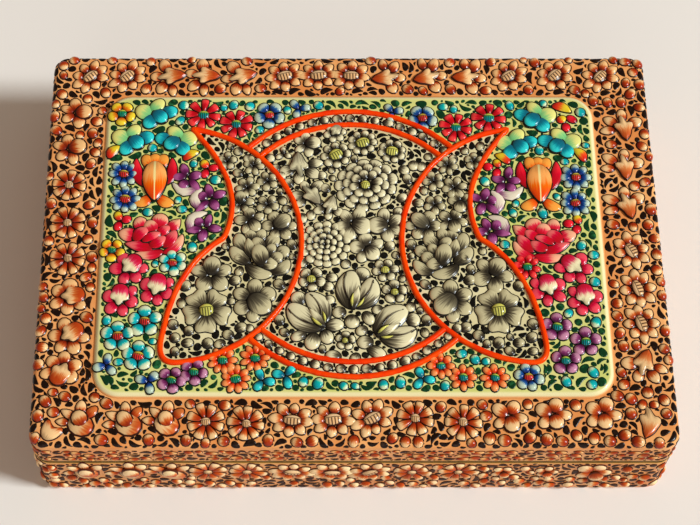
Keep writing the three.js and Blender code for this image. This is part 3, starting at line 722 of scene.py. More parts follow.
smallSize, smallFrom, smallTo = baseWall["small"]
for side, name in enumerate(("front", "right", "back", "left")):
    for kind, along, off, turn in border[name]:
        offset = along if side < 2 else -along
        size = baseWall["sizes"].get(kind, baseWall["size"])
        if name == "front" and smallFrom < along < smallTo:
            size = smallSize
        turn = turn if name in ("front", "back") else turn + math.pi / 2
        borderFlower(wallPetals, kind, wallPlace(side, offset), rowHeight, size * border["radius"], turn,
                     wallPaints)


def wallRoom(low, high):
    return roomMap(0, girth, low, high, lambda x, y: np.minimum(y - low, high - y))


baseBand = np.array([baseWall["margins"][0], baseTop - baseWall["margins"][1]])
baseRoom = wallRoom(*(rowHeight + (baseBand - rowHeight) / baseWall["stretch"]))
baseRoom.block(*wallPetals.discs())
strewBerries(baseRoom, wallPetals, wallRust, wallStrokes, inkBlack, 1.75, 2.3, 0.55, curls=0.3, blend=0.48)
strewStrokes(baseRoom, wallStrokes, inkBlack, 0.45, 1.4, gap=0.42)

lidWallPetals, lidWallStrokes = petalBed(), petalBed()
lidWallRoom = wallRoom(lidRim + lidWall["margins"][0], lidTop - box["edgeRound"] - lidWall["margins"][1])
longLeaf, wideLeaf = lidWall["leafShape"]
strokeSize, strokeGap, strokeRun = lidWall["stroke"]
for _ in range(lidWall["tries"]):
    x, y, wide = lidWallRoom.widest()
    if wide < lidWall["least"]:
        break
    r = min(wide - lidWall["gap"], rng.uniform(*lidWall["leafSize"]))
    turn = rng.uniform(-lidWall["lean"], lidWall["lean"]) + math.pi * (rng.random() < 0.5)
    if rng.random() < lidWall["strokes"]:
        layStroke(lidWallRoom, lidWallStrokes, inkBlack, x, y, strokeSize * r, strokeGap, strokeRun)
        continue
    button(lidWallPetals, x, y, longLeaf * r, wideLeaf * r, rustLeaf, turn, rise=0.5, point=0.4, blend=0.5)
    part = lidWall["spine"] * r
    spine = np.array([-1, 0, 1]) * part
    lidWallRoom.block(x + spine * math.cos(turn), y + spine * math.sin(turn), np.full(3, part))
strewStrokes(lidWallRoom, lidWallStrokes, inkBlack, 0.34, 1.0, gap=0.3)

# The field: moon, crescents and cords

moon = {
    "bellySteps": 130,
    "ring": fieldY - 8.5,
    "inner": fieldY - 14.9,
    "belly": fieldY - 15.5,
    "bellyX": fieldX - 29.5,
    "drop": 1.0,
    "tip": 82,             # degrees round the belly
    "heel": -87,
    # the crescent's other corners and pulls, as shares of the belly's radius from its centre
    "heelEnd": (-0.052, -0.84),
    "heelPull": (-0.065, -1.0),
    "kink": (0.402, 0.028),
    "backPull": (0.031, -0.21),
    "hornPull": (0.607, 0.464),
    "curveSteps": (12, 50, 50),
    "arcSteps": 110,
    "endClear": 0.6,       # room between an arc's end and the belly, in cord radii
}


def bellyPoint(shares, side):
    shares = np.asarray(shares, dtype=float)
    x = -moon["bellyX"] + shares[..., 0] * moon["belly"]
    return np.stack([-side * x, -moon["drop"] + shares[..., 1] * moon["belly"]], -1)


def pulledCurve(start, pull, end, count):
    # A curve from start to end that leaves and arrives along lines through the pull.
    t = np.linspace(0, 1, count, endpoint=False)[:, None]
    start, pull, end = map(np.asarray, (start, pull, end))
    return (1 - t) ** 2 * start + 2 * t * (1 - t) * pull + t ** 2 * end


def crescentLoop(side):
    # The belly's arc down from the tip, then the heel, the back up to the kink and the horn.
    angles = np.radians(np.linspace(moon["tip"], moon["heel"], moon["bellySteps"], endpoint=False))
    belly = np.stack([np.cos(angles), np.sin(angles)], -1)
    tip = belly[0]
    heel = (math.cos(np.radians(moon["heel"])), math.sin(np.radians(moon["heel"])))
    heelSteps, backSteps, hornSteps = moon["curveSteps"]
    loop = np.vstack([
        belly,
        pulledCurve(heel, moon["heelPull"], moon["heelEnd"], heelSteps),
        pulledCurve(moon["heelEnd"], moon["backPull"], moon["kink"], backSteps),
        pulledCurve(moon["kink"], moon["hornPull"], tip, hornSteps),
    ])
    return bellyPoint(loop, side)


def ringArc(radius, end):
    # The part of a ring between the crescents, at the back or the front.
    apart = math.hypot(moon["bellyX"], moon["drop"])
    reach = moon["belly"] + box["cordRadius"] * moon["endClear"]
    spread = math.acos((apart ** 2 + radius ** 2 - reach ** 2) / (2 * apart * radius))
    tilt = math.atan2(moon["drop"], moon["bellyX"])
    start = (spread if end > 0 else -spread) - tilt
    angles = np.linspace(start, end * math.pi - start, moon["arcSteps"])
    return radius * np.stack([np.cos(angles), np.sin(angles)], -1)


def insideLoop(loop, x, y):
    # A point is inside where a level line from it crosses the loop an odd number of times.
    inside = np.zeros(x.shape, dtype=bool)
    for (ax, ay), (bx, by) in zip(loop, np.roll(loop, -1, 0)):
        if ay != by:
            crosses = (ay > y) != (by > y)
            inside ^= crosses & (x < ax + (y - ay) * (bx - ax) / (by - ay))
    return inside


def inMoon(x, y):
    left = np.hypot(x + moon["bellyX"], y + moon["drop"]) > moon["belly"]
    right = np.hypot(x - moon["bellyX"], y + moon["drop"]) > moon["belly"]
    return (np.hypot(x, y) < moon["ring"]) & left & right


def inGrey(x, y):
    return inMoon(x, y) | insideLoop(loops[0], x, y) | insideLoop(loops[1], x, y)


loops = [crescentLoop(-1), crescentLoop(1)]
arcs = [ringArc(moon[r], end) for r in ("ring", "inner") for end in (-1, 1)]
cordPoints = np.vstack([loop[::3] for loop in loops] + [arc[::2] for arc in arcs])
cordDiscs = (cordPoints[:, 0], cordPoints[:, 1], np.full(len(cordPoints), box["cordRadius"] + 0.1))

garden = {
    "teal": (paint(0, 104, 124), paint(44, 204, 202)),
    "tealPale": (paint(0, 158, 170), paint(220, 224, 182)),
    "berry": (paint(0, 162, 168), paint(214, 224, 176)),
    "lime": (paint(120, 196, 122), paint(230, 224, 128)),
    "yellow": (paint(222, 100, 8), paint(240, 206, 50)),
    "red": (paint(176, 0, 12), paint(244, 66, 62)),
    "orange": (paint(226, 54, 6), paint(246, 150, 84)),
    "frill": (paint(236, 78, 6), paint(248, 160, 62)),
    "body": (paint(250, 168, 88), paint(236, 70, 0)),
    "side": (paint(190, 0, 26), paint(234, 34, 48)),
    "halfLeaf": (paint(228, 40, 20), paint(228, 196, 40)),
    "blue": (paint(2, 46, 124), paint(186, 204, 180)),
    "deep": (paint(82, 10, 62), paint(166, 84, 134)),
    "mauve": (paint(94, 20, 70), paint(194, 132, 158)),
    "pale": (paint(116, 50, 96), paint(228, 214, 188)),
    "rose": (paint(204, 4, 34), paint(244, 172, 134)),
    "core": (paint(196, 0, 28), paint(240, 108, 104)),
    "pink": (paint(182, 0, 36), paint(234, 72, 88)),
    "pinkHeart": (paint(242, 228, 180), paint(204, 8, 50)),
    "green": (paint(0, 134, 104), paint(206, 204, 60)),
    "tealHeart": (paint(0, 132, 136), paint(196, 206, 70)),
    "striped": (paint(214, 40, 40), paint(204, 190, 60)),
}
gardenLobe = {"leaf": garden["pink"], "wing": garden["pinkHeart"]}
leafGreen = paint(8, 52, 26)

fieldPetals, fieldLarge, fieldStrokes = petalBed(), petalBed(), petalBed()


def budTrio(at, x, y, turns):
    # Three buds about a place, the first of them half yellow.
    for key, turn in zip(("halfLeaf", "side", "side"), turns):
        px, py = at(x + 2.6 * math.cos(turn), y + 2.6 * math.sin(turn))
        button(fieldPetals, px, py, 4.6, 3.6, garden[key], turn, rise=1.0)


# How far the right half's upper flowers stand nearer to the middle and the front than the left's,
# and how far its two blue ones stand outwards
rightHalf = {"nearer": 3.2, "forward": 1.6, "outward": 2.4}


def gardenSide(side):
    # Places are written for the left half, as millimetres from the middle.
    def at(x, y):
        shift = side > 0 and y > 0
        return -side * x - rightHalf["nearer"] * shift, y - rightHalf["forward"] * shift

    flip = -side
    outward = rightHalf["outward"] * (side > 0)
    for x, y, turn, mirror in ((-82, 59, 0, 1), (-91.5, 46.5, 0, 1), (-73, 46, 0, -1)):
        bunch(fieldLarge, *at(x, y), 7.8, pansyRows, garden, turn, mirror * flip)
    for x, y, r in ((-62, 59, 7.4), (-48, 54.5, 7.2)):
        fanDaisy(fieldPetals, *at(x, y), r, 0.2 + 0.1 * x, garden["red"], garden["tealHeart"], 0.3)
    bunch(fieldLarge, *at(-81.5, 29), 8.8, tulipRows, garden, 0, flip)
    for x, y in ((-94.5, 30.5), (-93.5, 18.5)):
        capFlower(fieldPetals, *at(x - outward, y), 6.5, 0.4, garden["blue"], garden["striped"], 8,
                  blend=0.5)
    for x, y, turn in ((-68, 28.5, 2.0), (-58.5, 19, 0.6), (-60.5, 5.5, 0.0)):
        bunch(fieldPetals, *at(x, y), 7.2, purpleRows, garden, turn * flip, flip)
    bunch(fieldLarge, *at(-82, 1.5), 12.8, roseRows, garden, 0.05, flip)
    for x, y, turn in ((-90.5, -13, 0.64), (-93.5, -27, 1.34), (-79, -22.5, 1.2)):
        bunch(fieldPetals, *at(x, y), 7.2, lobeRows, gardenLobe, turn * flip, flip, fieldLarge)
    for x, y, turn in ((-99, 41, 0.9), (-66.5, 39, 0.5)):
        heading = turn if side < 0 else math.pi - turn
        button(fieldPetals, *at(x, y), 8.0, 4.6, garden["halfLeaf"], heading, bow=0.14 * flip, point=0.4)
    for x, y in ((-63.4, 35) if side > 0 else (-59.8, 33), (-95, 8.5)):
        budTrio(at, x, y, (2.0, 0.2, -1.9))
    if side < 0:
        for x, y, r in ((-96.5, 59.5, 6.2), (-98, -4.8, 5.4)):
            capFlower(fieldPetals, *at(x, y), r, 0.3, garden["yellow"], garden["green"], 5)
        capFlower(fieldPetals, *at(-73, -10.5), 6.0, 0.1, garden["tealPale"], garden["striped"], 6)
        for x, y in ((-83.5, -36.5), (-94, -43), (-85.5, -51.5)):
            capFlower(fieldPetals, *at(x, y), 6.9, 0.95, garden["tealPale"], garden["striped"], 5,
                      point=0.3, blend=0.5)
        for x, y, turn in ((-98, -55.5, 0.3), (-81, -62.5, 1.8)):
            sprig(fieldPetals, *at(x, y), 5.4, turn, garden["blue"])
        for x, y in ((-72, -61.8), (-63.2, -58.4)):
            capFlower(fieldPetals, *at(x, y), 5.9, 0.5, garden["mauve"], garden["green"], 5, point=0.3)
        for x, y in ((-52, -53.5), (-39, -52.5), (-46.5, -61.5)):
            capFlower(fieldPetals, *at(x, y), 6.2, 0.4, garden["orange"], garden["green"], 9)
        for x, y, turn in ((-36, -62, 0.9), (-27, -60, 1.9)):
            sprig(fieldPetals, *at(x, y), 5.4, turn, garden["teal"])
    else:
        budTrio(at, -95, 57, (0.6, 2.6, -1.4))
        button(fieldPetals, *at(-93, 63), 9, 4.6, garden["halfLeaf"], -0.5, bow=0.12, point=0.5)
        capFlower(fieldPetals, *at(-71, -12.5), 5.8, 0.2, garden["red"], garden["green"], 8)
        for x, y in ((-81.5, -39), (-92.5, -45.5), (-84, -53.5)):
            capFlower(fieldPetals, *at(x, y), 6.4, 0.9, garden["mauve"], garden["tealHeart"], 5, point=0.3)
        capFlower(fieldPetals, *at(-69, -60.5), 6.2, 0.3, garden["blue"], garden["striped"], 6)
        for x, y in ((-55.5, -60.8), (-43, -60.8), (-34.5, -55.8)):
            capFlower(fieldPetals, *at(x, y), 5.8, 0.4, garden["orange"], garden["tealHeart"], 8)
        sprig(fieldPetals, *at(-27, -61), 5.2, 0.9, garden["teal"])
    capFlower(fieldPetals, *at(-34, 59), 6.6, 0.3, garden["blue"], garden["striped"], 5)
    sprig(fieldPetals, *at(-21.5, 62), 5.0, 1.2, garden["blue"])


print("stage: garden")
gardenSide(-1)
gardenSide(1)


def gardenRoom(x, y):
    edge = -roundedDistance(x, y, fieldX - 2.1, fieldY - 2.1, box["fieldCorner"] - 2.0)[0]
    return np.where(inGrey(x, y), -1.0, edge)


fieldRoom = roomMap(-fieldX, fieldX, -fieldY, fieldY, gardenRoom)
fieldRoom.block(*cordDiscs)
for bed in (fieldPetals, fieldLarge):
    fieldRoom.block(*bed.discs())
strewBerries(fieldRoom, fieldPetals, garden["berry"], fieldStrokes, leafGreen, 1.6, 2.2, 0.6, limit=90,
             curls=0.4, blend=0.62)
strewStrokes(fieldRoom, fieldStrokes, leafGreen, 0.42, 1.9, gap=0.3)

# The moon and the crescents, in black, grey and cream

grey = (paint(74, 65, 48), paint(226, 215, 172))
duskGrey = (paint(54, 46, 32), paint(200, 188, 145))
greyHeart = (paint(206, 200, 96), paint(222, 216, 100))
greyPaints = {"leaf": grey, "wing": (grey[1], paint(150, 140, 112)),
              "fold": (inkBlack, paint(120, 112, 90)), "vein": greyHeart}
duskPaints = {**greyPaints, "leaf": duskGrey, "wing": (paint(92, 84, 64), duskGrey[1])}
moonPetals, moonLarge, moonStrokes = petalBed(), petalBed(), petalBed()


def greyPoppy(x, y, r, turn):
    petalRing(moonLarge, x, y, 5, 0.08 * r, r, duskGrey, turn, square=0.1, notch=0.3, rise=1.1, fit=1.06,
              taper=0.42, blend=0.46)
    heart(moonLarge, x, y, 0.58 * r, 0.52 * r, greyHeart, 0.1, rise=1.5, lift=0.6)


def crescentFlowers(side):
    flip = -side

    def at(x, y):
        return flip * x, y

    bunch(moonLarge, *at(-38, -6.5), 11.5, peonyRows, duskPaints, 0.1 * flip, flip)
    greyPoppy(*at(-58.7, -31.8), 10.6, 0.3)
    bunch(moonLarge, *at(-57, -15.8), 8.0, twistRows, duskPaints, 2.9, flip)
    bunch(moonLarge, *at(-39.5, -27.5), 8.6, lobeRows, duskPaints, -1.0 * flip, flip)
    bunch(moonPetals, *at(-29.6, 6.5), 6.8, lobeRows, duskPaints, 0.6 * flip, flip)
    bunch(moonPetals, *at(-41.5, 8.5), 6.0, twistRows, duskPaints, 0.5, flip)
    fivePetal(moonPetals, *at(-34.5, 16), 4.8, 0.4, duskGrey)
    fivePetal(moonPetals, *at(-34.5, 27), 4.6, 0.1, duskGrey)
    fivePetal(moonPetals, *at(-43, 24), 5.2, 0.7, duskGrey, 6)
    bunch(moonPetals, *at(-45.5, 17), 5.2, roundRows, duskPaints, 1.5, flip)
    fivePetal(moonPetals, *at(-40.5, 34.5), 4.6, 0.3, duskGrey, 6)
    fivePetal(moonPetals, *at(-51.5, 36.5), 4.4, 0.9, duskGrey)
    for x, y, turn in ((-24.4, -2.2, 2.0), (-29.5, -20.5, 2.6), (-47.5, -18.5, 0.4), (-67.5, -21, 0.9),
                       (-72, -37.8, 2.0), (-66, -45.8, 0.2), (-58, -46, 1.0), (-50, -42.5, 2.7),
                       (-45, -39.2, 0.6), (-29.5, -36, 1.8), (-71, -43.5, 0.9), (-46, -8, 2.9)):
        button(moonPetals, *at(x, y), 4.8, 4.2, duskGrey, turn, rise=1.2)


print("stage: moon")
crescentFlowers(-1)
crescentFlowers(1)
roundCluster(moonPetals, 6.3, 25.4, 12.8, ((13, 1.0, 0.36), (12, 0.76, 0.34), (8, 0.54, 0.34)), grey, 0.5,
             fit=1.02)
roundCluster(moonPetals, 6.3, 25.4, 12.8, ((5, 0.36, 0.26),), grey, fit=1.0)
heart(moonPetals, 6.0, 24.6, 4.0, 4.0, greyHeart, 0.2, lift=1.6)
roundCluster(moonPetals, -11, -2.2, 10.8, ((15, 1.0, 0.36), (13, 0.72, 0.3), (8, 0.46, 0.26)), grey, 0.25,
             stretch=1.02, fit=1.0, blend=0.3)
roundCluster(moonPetals, -11, -2.2, 10.8, ((4, 0.24, 0.2),), grey, blend=0.3)
for x, y, r, turn, rows, flip in (
        (1.2, 7.2, 7.6, 2.9, roundRows, -1), (14.2, 6.6, 7.4, 3.1, roundRows, 1),
        (6.2, -4, 6.8, 0.5, twistRows, 1), (-21.2, 33.9, 7.6, 3.1, arrowRows, 1),
        (-17, 20.8, 6.6, 0.5, arrowRows, 1), (-9, 15, 5.6, 3.0, arrowRows, -1),
        (-18, 44.7, 5.6, 0.0, roundRows, 1), (-6.4, 50.2, 4.4, 0.8, lobeRows, 1)):
    bunch(moonLarge, x, y, r, rows, greyPaints, turn, flip, wings=moonLarge)
for x, y, r, count, turn in (
        (-5.9, 39.6, 6.2, 8, 0.5), (5.2, 45.4, 6.0, 9, 0.35), (17.6, 41.3, 5.8, 8, -0.2)):
    petalRing(moonPetals, x, y, count, 0.42 * r, r, grey, turn, stretch=1.1, lean=turn, taper=0.1)
    heart(moonPetals, x, y, 0.98 * r, 0.78 * r, greyHeart, turn)
for x, y, r, count in (
        (-16.5, -18, 5.6, 5), (13.4, -13.9, 5.4, 6), (17, -23.7, 5.2, 5), (-3.2, -45, 4.2, 5)):
    capFlower(moonPetals, x, y, r, 0.13 * x, grey, greyHeart, count)
sprig(moonPetals, -28, 40, 3.6, 0.6, grey)
for x, y, turn in ((-17.3, -33, 2.35), (1.6, -23, 1.42), (16.8, -38.8, 0.55)):
    bunch(moonLarge, x, y, 9.4, greyTulipRows, greyPaints, turn - math.pi / 2)
for x, y, length, width, turn in (
        (-7.5, -38, 7.4, 5.4, 0.1), (-10.6, -43.4, 6.6, 5.4, -1.2), (-16.3, -45.2, 7.4, 6.2, -1.9),
        (-5.6, -32.6, 5.6, 4.8, 3.3), (-0.4, -36.8, 6.2, 6.0, -1.6), (6.3, -35.2, 6.4, 4.6, -1.0),
        (3.4, -40.6, 5.0, 4.0, -2.6), (4.6, -45.6, 6.6, 5.6, 3.3), (9.4, -50, 8.4, 5.0, -0.5),
        (-8, -51.5, 6.2, 4.6, 3.0), (-21.8, -43, 6.6, 4.2, 3.6)):
    button(moonLarge, x, y, length, width, grey, turn, rise=1.3)
for x, y in ((-33.6, 38), (-31.3, 33), (-10.5, 24), (-11.9, 29.8), (-25.9, 26.3), (22.3, 32.3), (26.4, 34.5),
             (23.6, 28), (21, 19.4), (-20.1, 9.7), (-16.6, 11.4), (-20.2, -10.8), (-8.2, -17.1), (-9.7, -21),
             (-9.5, -27), (15.5, -3), (-2.6, -11.3), (9.8, -31.3), (23.2, -30.4), (0.7, -52.4), (19.5, 12.8),
             (-28.5, 30), (29.5, 34)):
    button(moonPetals, x, y, 4.6, 4.0, grey, rng.uniform(0, 6.28), rise=1.15)
# Long berries stand side by side between the two rings of cord, with dots between them.
ringRow = {
    "spans": ((0.72, 2.42), (-2.38, -0.76)),   # at the back and at the front, in radians
    "count": 19,
    "long": (3.4, 4.4),
    "slim": 0.86,          # width as a share of the length
    "lean": 0.25,
    "dotOff": 0.95,        # how far the dots lie to either side of the row's middle
    "dotTurn": 0.047,
    "dotLong": (1.0, 1.6),
}
for start, end in ringRow["spans"]:
    turns = np.linspace(start, end, ringRow["count"])
    middle = (moon["ring"] + moon["inner"]) / 2
    side = turns + math.pi / 2
    x, y = middle * np.cos(turns), middle * np.sin(turns)
    long = rng.uniform(*ringRow["long"], len(turns))
    side = side + rng.normal(0, ringRow["lean"], len(turns)) + math.pi * (rng.random(len(turns)) < 0.5)
    moonPetals.add(x - long / 2 * np.cos(side), y - long / 2 * np.sin(side), side, long,
                   ringRow["slim"] * long, *grey, rise=0.95, blend=0.5)
    for off in (-ringRow["dotOff"], ringRow["dotOff"]):
        x = (middle + off) * np.cos(turns + ringRow["dotTurn"])
        y = (middle + off) * np.sin(turns + ringRow["dotTurn"])
        heading = rng.uniform(0, 6.28, len(turns))
        dots = rng.uniform(*ringRow["dotLong"], len(turns))
        moonStrokes.add(x, y, heading, dots, 1.0, inkBlack, inkBlack, rise=stroke["rise"])


middleRoom = roomMap(-fieldX, fieldX, -fieldY, fieldY, lambda x, y: np.where(inGrey(x, y), 5.0, -1.0))
middleRoom.block(*cordDiscs)
for bed in (moonPetals, moonLarge):
    middleRoom.block(*bed.discs())
strewBerries(middleRoom, moonPetals, duskGrey, moonStrokes, inkBlack, 1.4, 2.1, 0.55, limit=100, curls=0.4)
strewStrokes(middleRoom, moonStrokes, inkBlack, 0.34, 1.6, gap=0.24)

print("stage: materials")


def newMaterial(name):
    material = bpy.data.materials.new(name)
    material.use_nodes = True
    return material, material.node_tree, material.node_tree.nodes["Principled BSDF"]


def feed(tree, socket, value):
    # A socket takes a number, a colour or another node's output.
    if isinstance(value, (int, float)):
        socket.default_value = value
    elif isinstance(value, tuple):
        socket.default_value = (*value, 1)
    else:
        tree.links.new(value, socket)


def addNode(tree, kind, inputs=None, **settings):
    node = tree.nodes.new(kind)
    for key, value in settings.items():
        setattr(node, key, value)
    for key, value in (inputs or {}).items():
        feed(tree, node.inputs[key], value)
    return node


def mathNode(tree, operation, *values, clamp=False):
    values = dict(enumerate(values))
    return addNode(tree, "ShaderNodeMath", values, operation=operation, use_clamp=clamp).outputs[0]


def mixColour(tree, factor, a, b):
    return addNode(tree, "ShaderNodeMix", {0: factor, 6: a, 7: b}, data_type="RGBA").outputs[2]


def rampNode(tree, factor, low, high):
    # 0 below the low value and 1 above the high one, with a soft step between.
    values = {"Value": factor, "From Min": low, "From Max": high}
    return addNode(tree, "ShaderNodeMapRange", values, interpolation_type="SMOOTHSTEP").outputs["Result"]


def objectNoise(tree, scale, detail):
    place = tree.nodes.new("ShaderNodeTexCoord").outputs["Object"]
    values = {"Vector": place, "Scale": scale, "Detail": detail}
    return addNode(tree, "ShaderNodeTexNoise", values).outputs[0]


def makeGroup(name, inputs, outputs):
    # Inputs are names with defaults, where a tuple is a colour. The output called Colour is one.
    tree = bpy.data.node_groups.new(name, "ShaderNodeTree")
    for label, default in inputs.items():
        kind = "NodeSocketColor" if isinstance(default, tuple) else "NodeSocketFloat"
        socket = tree.interface.new_socket(label, in_out="INPUT", socket_type=kind)
        socket.default_value = (*default, 1) if isinstance(default, tuple) else default
    for label in outputs:
        kind = "NodeSocketColor" if label == "Colour" else "NodeSocketFloat"
        tree.interface.new_socket(label, in_out="OUTPUT", socket_type=kind)
    return tree, tree.nodes.new("NodeGroupInput"), tree.nodes.new("NodeGroupOutput")


varnish = {
    "broad": 160,          # noise scale of the ripples, and of the dimples
    "fine": 900,
    "spread": 0.16,        # how much the roughness varies
    "dimples": 0.3,
    "bump": 0.12,
    "depth": 0.0003,       # metres
}


def varnishGroup():
    # Hand varnish: a roughness that varies softly and a height with dimples and brush ripples.
    tree, start, end = makeGroup("handVarnish", {"Roughness": 0.2}, ("Roughness", "Height"))
    broad = objectNoise(tree, varnish["broad"], 3)
    fine = objectNoise(tree, varnish["fine"], 2)
    spread = mathNode(tree, "MULTIPLY_ADD", broad, varnish["spread"], -varnish["spread"] / 2)
    feed(tree, end.inputs["Roughness"], mathNode(tree, "ADD", spread, start.outputs[0], clamp=True))
    feed(tree, end.inputs["Height"], mathNode(tree, "MULTIPLY_ADD", fine, varnish["dimples"], broad))
    return tree


def cloudGroup():
    # Clouds where the brush was fuller: soft noise, and a mask between two of its levels.
    levels = {"Scale": 45.0, "Detail": 4.0, "Low": 0.35, "High": 0.68}
    tree, start, end = makeGroup("paintClouds", levels, ("Mask", "Noise"))
    noise = objectNoise(tree, start.outputs["Scale"], start.outputs["Detail"])
    feed(tree, end.inputs["Mask"], rampNode(tree, noise, start.outputs["Low"], start.outputs["High"]))
    feed(tree, end.inputs["Noise"], noise)
    return tree


brush = {
    "streaks": (16.0, 1.6),    # how fast they change across a petal and along it
    "meet": 0.45,              # they fan out from this far behind the root
    "turn": (0.26, 0.22),      # the colour turns from before the blend to after it
    "vein": (0.06, 0.025),
    "veinColour": (250, 226, 150),
    "bars": 36.0,
    "cap": 0.62,               # where a striped heart's bars end
    "barInk": 0.9,
    "rootFade": 0.24,
    "outline": (0.25, 0.65),
}


def petalGroup():
    # Paint runs from the root's colour over a thin glaze to the tip's, broken up by fine streaks
    # that fan out with the brush. The root is inked over and the foot has a dark outline.
    settings = {"Ink": (0.0, 0.0, 0.0), "Root Ink": 0.45, "Root Reach": 0.3, "Streaks": 0.5}
    tree, start, end = makeGroup("petalBrush", settings, ("Colour",))

    def attribute(label, output="Fac"):
        return addNode(tree, "ShaderNodeAttribute", attribute_name=label).outputs[output]

    uv = addNode(tree, "ShaderNodeUVMap", uv_map="petal")
    parts = addNode(tree, "ShaderNodeSeparateXYZ", {0: uv.outputs[0]})
    across, along = parts.outputs[0], parts.outputs[1]
    off = mathNode(tree, "SUBTRACT", across, 0.5)
    spoke = mathNode(tree, "DIVIDE", off, mathNode(tree, "ADD", along, brush["meet"]))
    place = addNode(tree, "ShaderNodeCombineXYZ", {
        0: mathNode(tree, "MULTIPLY", spoke, brush["streaks"][0]),
        1: mathNode(tree, "MULTIPLY", along, brush["streaks"][1]),
        2: mathNode(tree, "MULTIPLY", attribute("seed"), 57.0),
    })
    streak = addNode(tree, "ShaderNodeTexNoise", {"Vector": place.outputs[0], "Scale": 1.0, "Detail": 3.0})
    strength = start.outputs["Streaks"]
    shaken = mathNode(tree, "MULTIPLY_ADD", streak.outputs[0], strength, along)
    shaken = mathNode(tree, "SUBTRACT", shaken, mathNode(tree, "MULTIPLY", strength, 0.5))
    middle = attribute("blend")
    share = rampNode(tree, shaken, mathNode(tree, "SUBTRACT", middle, brush["turn"][0]),
                     mathNode(tree, "ADD", middle, brush["turn"][1]))
    thick = mathNode(tree, "MULTIPLY", share, 2.0, clamp=True)
    thin = mathNode(tree, "MULTIPLY_ADD", share, 2.0, -1.0, clamp=True)
    colour = mixColour(tree, thick, attribute("rootColour", "Color"), attribute("midColour", "Color"))
    colour = mixColour(tree, thin, colour, attribute("tipColour", "Color"))
    # Stripes of -1 give a petal a pale vein. Stripes of 1 make a striped heart, with upright bars
    # below a plain cap and a line between.
    stripes = attribute("stripes")
    vein = rampNode(tree, mathNode(tree, "ABSOLUTE", off), *brush["vein"])
    vein = mathNode(tree, "MULTIPLY", vein, mathNode(tree, "MULTIPLY", stripes, -1.0, clamp=True))
    colour = mixColour(tree, vein, colour, paint(*brush["veinColour"]))
    stripes = mathNode(tree, "MULTIPLY", stripes, 1.0, clamp=True)
    wave = mathNode(tree, "SINE", mathNode(tree, "MULTIPLY", across, brush["bars"]))
    bars = rampNode(tree, wave, 0.1, 0.5)
    below = rampNode(tree, mathNode(tree, "SUBTRACT", brush["cap"], along), 0.0, 0.05)
    line = mathNode(tree, "ABSOLUTE", mathNode(tree, "SUBTRACT", along, brush["cap"] + 0.02))
    line = rampNode(tree, mathNode(tree, "SUBTRACT", 0.05, line), 0.0, 0.03)
    bars = mathNode(tree, "MAXIMUM", mathNode(tree, "MULTIPLY", bars, below), line)
    bars = mathNode(tree, "MULTIPLY", mathNode(tree, "MULTIPLY", bars, stripes), brush["barInk"])
    rooted = mathNode(tree, "SUBTRACT", start.outputs["Root Reach"], shaken)
    rooted = rampNode(tree, rooted, 0.0, brush["rootFade"])
    rooted = mathNode(tree, "MULTIPLY", rooted, mathNode(tree, "SUBTRACT", 1.0, stripes))
    rooted = mathNode(tree, "MULTIPLY", rooted, start.outputs["Root Ink"])
    edge = rampNode(tree, attribute("ink"), *brush["outline"])
    dark = mathNode(tree, "MAXIMUM", mathNode(tree, "MAXIMUM", bars, rooted), edge)
    feed(tree, end.inputs["Colour"], mixColour(tree, dark, colour, start.outputs["Ink"]))
    return tree


varnishTree, cloudTree, petalTree = varnishGroup(), cloudGroup(), petalGroup()


def addClouds(tree, scale, detail, low, high):
    levels = {"Scale": scale, "Detail": detail, "Low": low, "High": high}
    return addNode(tree, "ShaderNodeGroup", levels, node_tree=cloudTree)


def finishPaint(tree, shader, colour, roughness, specular, coat, coatRoughness):
    # Varnished paint: the hand varnish roughens and ripples it, and the coat gives the glints.
    hand = addNode(tree, "ShaderNodeGroup", {"Roughness": roughness}, node_tree=varnishTree)
    ripples = addNode(tree, "ShaderNodeBump", {"Strength": varnish["bump"], "Distance": varnish["depth"],
                                               "Height": hand.outputs["Height"]})
    for label, value in (("Base Color", colour), ("Roughness", hand.outputs["Roughness"]),
                         ("Normal", ripples.outputs[0]), ("Specular IOR Level", specular),
                         ("Coat Weight", coat), ("Coat Roughness", coatRoughness)):
        feed(tree, shader.inputs[label], value)


def petalMaterial(name, ink, rootInk, rootReach=0.3, streaks=0.5, coat=0.5):
    material, tree, shader = newMaterial(name)
    settings = {"Ink": ink, "Root Ink": rootInk, "Root Reach": rootReach, "Streaks": streaks}
    petal = addNode(tree, "ShaderNodeGroup", settings, node_tree=petalTree)
    finishPaint(tree, shader, petal.outputs["Colour"], 0.38, 0.04, coat, 0.2)
    return material


def strokeMaterial(name, dark, light, coat=0.3):
    # One brushful: thick paint with a thinner, lighter part here and there.
    material, tree, shader = newMaterial(name)
    share = addClouds(tree, 420, 2, 0.52, 0.78).outputs["Mask"]
    finishPaint(tree, shader, mixColour(tree, share, dark, light), 0.38, 0.04, coat, 0.2)
    return material


